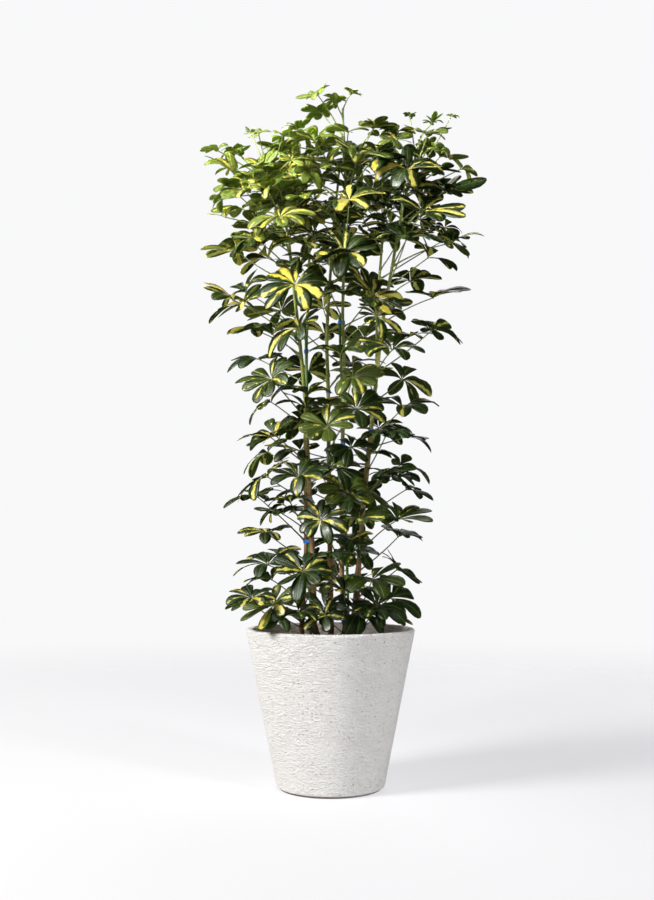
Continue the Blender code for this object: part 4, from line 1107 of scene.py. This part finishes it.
def bendBlade(copied, leaf, turn, tone, d, draw):
    turn += math.radians(draw.uniform(-1, 1) * d["turnSpread"])
    share = mixed((d["backLeaflet"], 1.0), ((1 + math.cos(turn)) / 2) ** d["backCurve"])
    length = leaf.length * share * draw.uniform(*d["lengthSpread"])
    halfWidth = d["halfWidth"] * leaf.length * share * draw.uniform(*d["widthSpread"])
    fold, curl = draw.uniform(*d["fold"]), draw.uniform(*d["curl"])
    roll, droop = math.radians(draw.uniform(-1, 1) * d["roll"]), draw.uniform(*d["droop"])
    swing = draw.uniform(*d["swing"])
    phase, cup = draw.uniform(*d["rippleStart"]), leaf.cup
    heading = leaf.ahead * math.cos(turn) + leaf.side * math.sin(turn)
    across = leaf.normal.cross(heading)
    for vertex in copied.data.vertices:
        u, v, w = vertex.co
        lift = u * math.sin(cup) + d["arch"] * 4 * u * (1 - u) - leaf.sag * u * u - droop * u**3
        middle = leaf.hub + heading * (u * length * math.cos(cup)) + leaf.normal * (lift * length)
        wide = abs(v)
        ripple = d["ripple"] * math.sin(phase + d["ripples"] * u) * wide
        bend = fold * wide - curl * wide * wide + ripple
        reach = v * halfWidth
        rolled = math.sin(roll) * clamped(u * d["fullRoll"])
        thick = d["stalkThickness"] if u < d["stalkEnd"] else d["thickness"]
        spot = (middle + across * (reach * math.cos(roll) + swing * length * u * u)
                + leaf.normal * (bend * halfWidth + reach * rolled + w * thick))
        lowest = rest["overRim"] if spot.xy.length > rest["rimFrom"] else rest["overSoil"]
        spot.z = max(spot.z, lowest + (spot.z - lowest) * rest["give"])
        vertex.co = spot
    values = copied.data.attributes["bladeTone"].data
    values.foreach_set("color", list(tone) * len(copied.data.vertices))


# Blade pattern: yellow patches that spread from the midrib, the midrib and the side veins
bladePattern = {
    "streakLean": 0.16, "streakWidth": 0.19, "streakShare": 0.60, "slant": 1.1,
    "patchAlong": 5.0, "patchAcross": 7.0, "patchChange": 41.0, "patchShare": 0.85, "offset": 1.30,
    "yellow": (0.00, 0.09), "edge": (-0.20, 0.02), "midrib": (0.010, 0.003), "veins": 62.0,
    "veinEdge": (0.80, 1.0),
}


def makeBladeGroup(d):
    group, given, wanted = newGroup(
        "bladePattern",
        [("Place", "Vector", None), ("Amount", "Float", 0.4), ("Change", "Float", 0.5)],
        [("Yellow", "Float"), ("Edge", "Float"), ("Midrib", "Float"), ("Veins", "Float")])
    parts = addNode(group, "SeparateXYZ", {0: given["Place"]}).outputs
    sideways = calc(group, "SUBTRACT", parts["Y"], 0.5)
    offMiddle = calc(group, "ABSOLUTE", sideways)
    lean = scaled(group, calc(group, "SUBTRACT", given["Change"], 0.5), d["streakLean"])
    fromStreak = calc(group, "ABSOLUTE", calc(group, "SUBTRACT", sideways, lean))
    nearStreak = calc(group, "SUBTRACT", 1.0, calc(group, "DIVIDE", fromStreak, d["streakWidth"]))
    slanted = calc(group, "SUBTRACT", parts["X"], scaled(group, offMiddle, d["slant"]))
    spot = addNode(group, "CombineXYZ", {
        0: scaled(group, slanted, d["patchAlong"]), 1: scaled(group, sideways, d["patchAcross"]),
        2: scaled(group, given["Change"], d["patchChange"])}).outputs[0]
    patch = addNode(group, "TexNoise", {"Vector": spot, "Scale": 1.0, "Detail": 3.0}).outputs[0]
    field = calc(group, "ADD", scaled(group, patch, d["patchShare"]),
                 scaled(group, nearStreak, d["streakShare"]))
    amount = calc(group, "ADD", field, calc(group, "SUBTRACT", given["Amount"], d["offset"]))
    wave = calc(group, "SINE", scaled(group, slanted, d["veins"]))
    for name, value, pair in (("Yellow", amount, d["yellow"]), ("Edge", amount, d["edge"]),
                              ("Midrib", offMiddle, d["midrib"]), ("Veins", wave, d["veinEdge"])):
        group.links.new(smoothStep(group, value, *pair), wanted[name])
    return group


bladeGroup = makeBladeGroup(bladePattern)
bladeLook = {
    "mottle": (0.010, 0.30, 0.70), "mottleShare": 0.25, "edgeShare": 0.75, "cream": (0.65, 0.59, 0.15),
    "midribShare": 0.38, "midribTone": (0.36, 0.42, 0.12), "veinShare": 0.06, "veinTone": (0.20, 0.28, 0.09),
    "veinRelief": 0.5, "bump": (0.5, 0.0006), "roughSpread": 0.12,
    "thin": {"Subsurface Weight": 0.30, "Subsurface Radius": (0.8, 1.0, 0.25), "Subsurface Scale": 0.003},
}
upperLook = {
    **bladeLook, "dark": (0.007, 0.018, 0.003), "fresh": (0.305, 0.405, 0.055), "pale": (0.56, 0.47, 0.055),
    "edge": (0.034, 0.062, 0.007), "rough": 0.27, "gloss": 0.50,
}
underLook = {
    **bladeLook, "dark": (0.013, 0.028, 0.004), "fresh": (0.360, 0.480, 0.080), "pale": (0.51, 0.50, 0.09),
    "edge": (0.05, 0.085, 0.012), "rough": 0.55, "gloss": 0.15,
}


def bladeFinish(name, d):  # green with yellow patches, thin enough for light to pass
    made, tree, shader = newMaterial(name, {"Specular IOR Level": d["gloss"], **d["thin"]})
    painted = addNode(tree, "Attribute", attribute_name="bladeTone", attribute_type="GEOMETRY")
    yellow, fresh, change = addNode(tree, "SeparateColor", {0: painted.outputs["Color"]}).outputs
    place = addNode(tree, "UVMap", uv_map="bladeMap").outputs[0]
    pattern = addNode(tree, "Group", {"Place": place, "Amount": yellow, "Change": change},
                      node_tree=bladeGroup).outputs
    mottle = grain(tree, *d["mottle"])
    colour = colourMix(tree, fresh, d["dark"], d["fresh"])
    for mask, share in ((mottle, d["mottleShare"]), (pattern["Edge"], d["edgeShare"])):
        colour = colourMix(tree, scaled(tree, mask, share), colour, d["edge"])
    colour = colourMix(tree, pattern["Yellow"], colour, colourMix(tree, change, d["pale"], d["cream"]))
    for key, share, tone in (("Midrib", d["midribShare"], d["midribTone"]),
                             ("Veins", d["veinShare"], d["veinTone"])):
        colour = colourMix(tree, scaled(tree, pattern[key], share), colour, tone)
    relief = calc(tree, "SUBTRACT", scaled(tree, pattern["Veins"], d["veinRelief"]), pattern["Midrib"])
    bumped(tree, shader, relief, *d["bump"])
    feed(tree, shader, Base_Color=colour, Roughness=raised(tree, mottle, d["roughSpread"], d["rough"]))
    return made


stalkLook = {
    "grains": {"drift": (0.030, 0.30, 0.70), "fibre": (0.0025, 0.38, 0.66, (1, 1, 0.5))},
    "heights": {"drift": 0.18, "offset": 0.0, "top": 1.6, "stops": (
        (0.25, (0.190, 0.150, 0.075)), (0.45, (0.220, 0.220, 0.085)), (0.70, (0.280, 0.330, 0.100)),
        (1.0, (0.370, 0.480, 0.140)))},
    "coats": (("fibre", 0.30, (0.280, 0.300, 0.160)),),
    "relief": {"fibre": 1}, "bump": (0.3, 0.0004), "rough": ("fibre", 0.15, 0.38),
}

# Which leaves are fresh, pale or marked with yellow, with painted light on the left side and painted shade on
# the right
foliage = {
    # ageing from left to right paints shade on the right; the left shares of fresh, pale and yellow leaves
    # paint light on the left
    "ageing": (0.38, 0.22), "ageFrom": 0.08, "youngFresh": 0.95, "litLeftPaintedFresh": 0.60,
    "freshSpread": (-0.34, 0.08), "freshShare": (0.6, 1.4), "pale": (0.08, 0.30), "paleShareLitToShaded": (0.24, 0.10),
    "plainLeaves": (0.46, 0.14), "plainYellow": (0.0, 0.22), "yellow": (0.16, 0.38),
    "yellowSpread": (-0.28, 0.16), "highYellow": 0.16, "litLeftPaintedYellow": 0.10, "youngYellow": 0.50,
    "litLeftToShadedRight": (-0.12, 0.12), "crown": (1.20, 1.40), "lowToHigh": (0.75, 1.10),
}


def leafTone(leaf, tipHeight, draw, d):  # amount of yellow, freshness: the left side is painted paler as light, the right darker as shade
    right, high = within(leaf.hub.x, d["litLeftToShadedRight"]), within(leaf.hub.z, d["lowToHigh"])
    # painted shade: leaves on the right count as older, so their green is darker
    age = clamped((tipHeight + d["ageFrom"] - leaf.hub.z) / mixed(d["ageing"], right))
    # painted light: leaves high in the left crown get a fresher, paler green
    fresh = (1 - age) * d["youngFresh"] + d["litLeftPaintedFresh"] * (1 - right) * within(leaf.hub.z, d["crown"])
    fresh = clamped(fresh + draw.uniform(*d["freshSpread"]))
    if draw.random() < mixed(d["paleShareLitToShaded"], right):  # a leaf that lost some of its dark green, more often on the left as painted light
        fresh = clamped(fresh + draw.uniform(*d["pale"]))
    plain = draw.random() < mixed(d["plainLeaves"], high)
    amount = draw.uniform(*d["plainYellow"]) if plain else draw.uniform(*d["yellow"])
    # painted light: more pale yellow on the lit left side
    amount += d["highYellow"] * high + d["litLeftPaintedYellow"] * (1 - right)
    return mixed((amount * d["youngYellow"], amount), age), fresh


# More leaves at the outline, before the stems and over the rim, each with the columns of leafRow
shownLeaves = {
    "stem_left_front": (
        (1.345, -0.222, -0.050, 1.388, -22, 10, 0.088, -0.05, 8),
        (1.148, -0.166, -0.080, 1.208, 22, 30, 0.092, 0.22, 8),
        (1.208, -0.159, -0.020, 1.258, 18, 5, 0.086, 0.15, 8),
        (1.379, -0.214, -0.040, 1.439, 35, 20, 0.058, 0.05, 5),
        (0.716, -0.134, -0.080, 0.776, 30, 15, 0.076, 0.18, 7),
        (0.388, -0.170, -0.110, 0.422, 20, 12, 0.074, 0.16, 8),
        (0.342, -0.103, -0.115, 0.382, 40, 0, 0.060, 0.25, 7),
        (1.040, -0.220, -0.070, 1.088, 6, 20, 0.082, 0.12, 8),
        (0.560, -0.105, -0.080, 0.605, 35, 0, 0.066, 0.20, 8)),
    "stem_centre": (
        (0.340, -0.012, -0.120, 0.385, 48, 25, 0.064, 0.22, 7),
        (1.384, 0.100, -0.030, 1.504, 30, 10, 0.050, 0.04, 5),
        (1.536, 0.012, -0.030, 1.572, 12, 0, 0.060, 0.10, 8),
        (1.040, 0.030, -0.120, 1.088, 30, 10, 0.080, 0.20, 8),
        (0.998, 0.102, -0.125, 1.038, 42, 0, 0.062, 0.20, 8),
        (0.700, 0.045, -0.120, 0.748, 38, 0, 0.066, 0.20, 8)),
    "stem_right_front": (
        (0.352, 0.090, -0.100, 0.392, 42, 40, 0.070, 0.24, 8),
        (1.181, 0.285, 0.000, 1.241, 20, 15, 0.082, 0.20, 8),
        (0.640, 0.135, -0.060, 0.690, 35, 0, 0.064, 0.20, 8)),
}

# Smaller leaves between the main ones: many near the tips, a few low round the stems
between = {
    "apart": 0.030, "margin": 0.008, "boxShare": 0.9, "headRoom": 0.120, "tries": 40, "seed": 91,
    "sets": (
        {"count": 16, "low": False, "from": (0.27, 0.04), "reach": (0.040, 0.160), "rise": (-0.01, 0.06),
         "length": (0.044, 0.070), "leaflets": (5, 7), "tilt": (-15, 60), "sag": (0.02, 0.25),
         "heading": (-90, 95)},
        {"count": 2, "low": True, "from": (0.14, 0.48), "reach": (0.070, 0.160), "rise": (0.00, 0.07),
         "length": (0.056, 0.080), "leaflets": (6, 8), "tilt": (5, 65), "sag": (0.05, 0.35),
         "heading": (-90, 80)}),
}


def leavesBetween(name, route, d):  # rows with the columns of leafRow, kept inside the model's box
    draw = random.Random(d["seed"] + sum(ord(letter) for letter in name))
    taken = [Vector(place[1:4]) for place in (*leafPlaces[name], *shownLeaves.get(name, ()))]
    low, high = (Vector(corner) for corner in cadBox)
    made = []
    for kind in d["sets"]:
        for _ in range(kind["count"]):
            for _ in range(d["tries"]):
                along = draw.uniform(*kind["from"])
                height = plant["soilTop"] + along if kind["low"] else route[-1].z - along
                outward = level(math.radians(draw.gauss(*kind["heading"])))
                reach, length = draw.uniform(*kind["reach"]), draw.uniform(*kind["length"])
                hub = routeAt(route, height) + outward * reach + Vector((0, 0, draw.uniform(*kind["rise"])))
                room = length * d["boxShare"] - d["margin"]
                inside = all(low[k] + room < hub[k] < high[k] - room for k in range(2))
                inside = inside and hub.z < high.z - d["headRoom"]
                if inside and min((hub - other).length for other in taken) > d["apart"]:
                    break
            else:
                continue
            taken.append(hub)
            made.append((height, *hub, draw.uniform(*kind["tilt"]), draw.uniform(0, 360), length,
                         draw.uniform(*kind["sag"]), draw.randint(*kind["leaflets"])))
    return made


stalk, knuckle = stalkShape(petiole), knuckleShape(petiole)
blade, youngBlade = bladeShape(leaflet), bladeShape(youngLeaflet)
petioleGreen = finishOf("petioleGreen", stalkLook)
bladeFinishes = [bladeFinish("bladeTop", upperLook), bladeFinish("bladeUnder", underLook)]
for shape in (blade, youngBlade):  # before the copies: a join drops the material numbers of bare meshes
    for finish in bladeFinishes:
        shape.data.materials.append(finish)


def growStalk(leaf, draw, d):  # a bent stalk, and the knuckle that the leaflets meet on
    newStalk, newKnuckle = copyOf(stalk, "petiole"), copyOf(knuckle, "knuckle")
    bendStalk(newStalk, leaf, d, draw)
    size = d["knuckle"] * mixed(d["knuckleShare"], leaf.length / d["knuckleLeaf"])
    newKnuckle.data.transform(Matrix.Translation(leaf.hub) @ Matrix.Diagonal((size, size, size, 1)))
    return [newStalk, newKnuckle]


def growLeaflets(leaf, tipHeight, draw, d):
    shape, kind = (youngBlade, youngLeaflet) if leaf.young else (blade, leaflet)
    amount, fresh = leafTone(leaf, tipHeight, draw, d)
    grown = []
    for turn in leaf.turns():
        if draw.random() < kind["missing"]:
            continue
        tone = (clamped(amount + draw.uniform(*d["yellowSpread"])),
                clamped(fresh * draw.uniform(*d["freshShare"])), draw.random(), 1.0)
        grown.append(copyOf(shape, "leaflet"))
        bendBlade(grown[-1], leaf, turn, tone, kind, draw)
    return grown


leafletCount = 0
for number, (name, route) in enumerate(routes.items()):
    stalkDraw, bladeDraw, holdDraw = (
        random.Random(d["seed"] * 100 + number) for d in (petiole, leaflet, carriage))
    stalks, blades = [], []
    for place in [*leafPlaces[name], *shownLeaves.get(name, ()), *leavesBetween(name, route, between)]:
        leaf = LeafFrame(route, place, holdDraw, carriage)
        stalks += growStalk(leaf, stalkDraw, petiole)
        leaf.shorten(carriage)
        blades += growLeaflets(leaf, route[-1].z, bladeDraw, foliage)
    leafletCount += len(blades)
    stalkPiece = joinUp(stalks, name.replace("stem", "petioles"))
    smoothShade(stalkPiece, 70)
    settle(stalkPiece, [petioleGreen], "plant", name)
    settle(joinUp(blades, name.replace("stem", "leaflets")), bladeFinishes, "plant", name)
    print("leaves done on", name)
throwAway(stalk, knuckle, blade, youngBlade)
print("leaflets done:", leafletCount)


# Floor, light and camera
studio = {
    "floorSize": 14.0, "floorTone": (0.358, 0.358, 0.353), "shade": (0.9, 0.2, 0.8), "shadeDepth": 0.97,
    "fadeFrom": 0.8, "fadeTo": 4.0, "glowTone": (0.965, 0.96, 1.0), "floorGlow": 0.60, "floorBounce": 0.42,
    "backdrop": (0.945, 0.945, 0.955), "ambient": (0.985, 0.985, 1.0), "ambientStrength": 0.235,
    "mirrored": 0.015, "sheen": 2.3, "sheenFrom": 0.50, "sheenTo": 0.98,
}
lamps = {
    "keyLight": {"from": (-3.5, -2.0, 2.9), "aim": (0, 0, 0.75), "power": 278.0, "size": 1.6,
                 "tone": (1.0, 0.985, 0.955)},
    "fillLight": {"from": (2.4, -2.4, 1.5), "aim": (0, 0, 0.12), "power": 0.96, "size": 0.8, "spread": 18.0,
                  "tone": (0.98, 0.985, 1.0), "mirrored": False},  # lights the planter, not the crown
    "crownLight": {"from": (-1.7, -2.7, 2.5), "aim": (0.04, 0, 1.42), "power": 5.2, "size": 0.9,
                   "spread": 26.0, "tone": (1.0, 0.985, 0.955)},
    "rimLight": {"from": (0.6, 2.8, 2.8), "aim": (0, 0, 0.75), "power": 14.0, "size": 1.6,
                 "tone": (1.0, 0.99, 0.97)},
}


def makeFloor(d):
    bpy.ops.mesh.primitive_plane_add(size=d["floorSize"])
    floor = bpy.context.object
    floor.name = "studioFloor"
    made, tree, shader = newMaterial("paleFloor", {
        "Roughness": 0.9, "Specular IOR Level": 0.1, "Emission Color": (*d["glowTone"], 1)})
    place = placeOf(tree)
    radius = addNode(tree, "VectorMath", {0: place}, operation="LENGTH").outputs["Value"]
    darker = tuple(d["shadeDepth"] * part for part in d["floorTone"])
    tone = colourMix(tree, grain(tree, *d["shade"], place=place), d["floorTone"], darker)
    rays = addNode(tree, "LightPath").outputs
    glow = raised(tree, rays["Is Camera Ray"], d["floorGlow"] - d["floorBounce"], d["floorBounce"])
    solid = smoothStep(tree, radius, d["fadeTo"], d["fadeFrom"])
    unmirrored = calc(tree, "SUBTRACT", 1.0, rays["Is Glossy Ray"])  # leaves don't mirror the bright floor
    feed(tree, shader, Base_Color=tone, Emission_Strength=glow,
         Alpha=calc(tree, "MULTIPLY", solid, unmirrored))
    floor.data.materials.append(made)


def makeLight(name, d):
    light = bpy.data.lights.new(name, "AREA")
    light.shape, light.size, light.energy, light.color = "DISK", d["size"], d["power"], d["tone"]
    if "spread" in d:
        light.spread = math.radians(d["spread"])
    lamp = newObject(name, light)
    lamp.location = d["from"]
    lamp.rotation_euler = (Vector(d["aim"]) - Vector(d["from"])).to_track_quat("-Z", "Y").to_euler()
    lamp.visible_glossy = d.get("mirrored", True)


def makeSurround(d):  # the camera sees the pale backdrop, the plant gets the softer ambient light
    world = bpy.data.worlds.new("studio")
    bpy.context.scene.world = world
    world.use_nodes = True
    tree = world.node_tree
    tree.nodes.clear()
    soft = addNode(tree, "Background", {0: (*d["ambient"], 1), 1: d["ambientStrength"]})
    way = addNode(tree, "TexCoord").outputs["Generated"]
    towards = Vector(lamps["keyLight"]["from"]).normalized()
    facing = addNode(tree, "VectorMath", {0: way, 1: towards}, operation="DOT_PRODUCT").outputs["Value"]
    near = smoothStep(tree, facing, d["sheenFrom"], d["sheenTo"])
    glow = raised(tree, near, d["sheen"], d["mirrored"])
    dim = addNode(tree, "Background", {0: (*d["ambient"], 1), 1: glow})
    seen = addNode(tree, "Background", {0: (*d["backdrop"], 1), 1: 1.0})
    rays = addNode(tree, "LightPath").outputs
    unseen = addNode(tree, "MixShader", {0: rays["Is Glossy Ray"], 1: soft.outputs[0], 2: dim.outputs[0]})
    chosen = addNode(tree, "MixShader", {0: rays["Is Camera Ray"], 1: unseen.outputs[0], 2: seen.outputs[0]})
    out = tree.nodes.new("ShaderNodeOutputWorld")
    tree.links.new(chosen.outputs[0], out.inputs[0])


camera = {"place": (-0.0078, -2.4, 0.536), "tip": 5.2, "lens": 41.97, "sensor": 36.0}


def makeCamera(d):
    made = bpy.data.cameras.new("photoView")
    made.lens, made.sensor_width = d["lens"], d["sensor"]
    viewer = newObject("photoView", made)
    viewer.location, viewer.rotation_euler = d["place"], (math.radians(90 + d["tip"]), 0, 0)
    bpy.context.scene.camera = viewer


makeFloor(studio)
for name, lamp in lamps.items():
    makeLight(name, lamp)
makeSurround(studio)
makeCamera(camera)
bpy.context.scene.view_settings.view_transform = "Standard"
print("studio done")
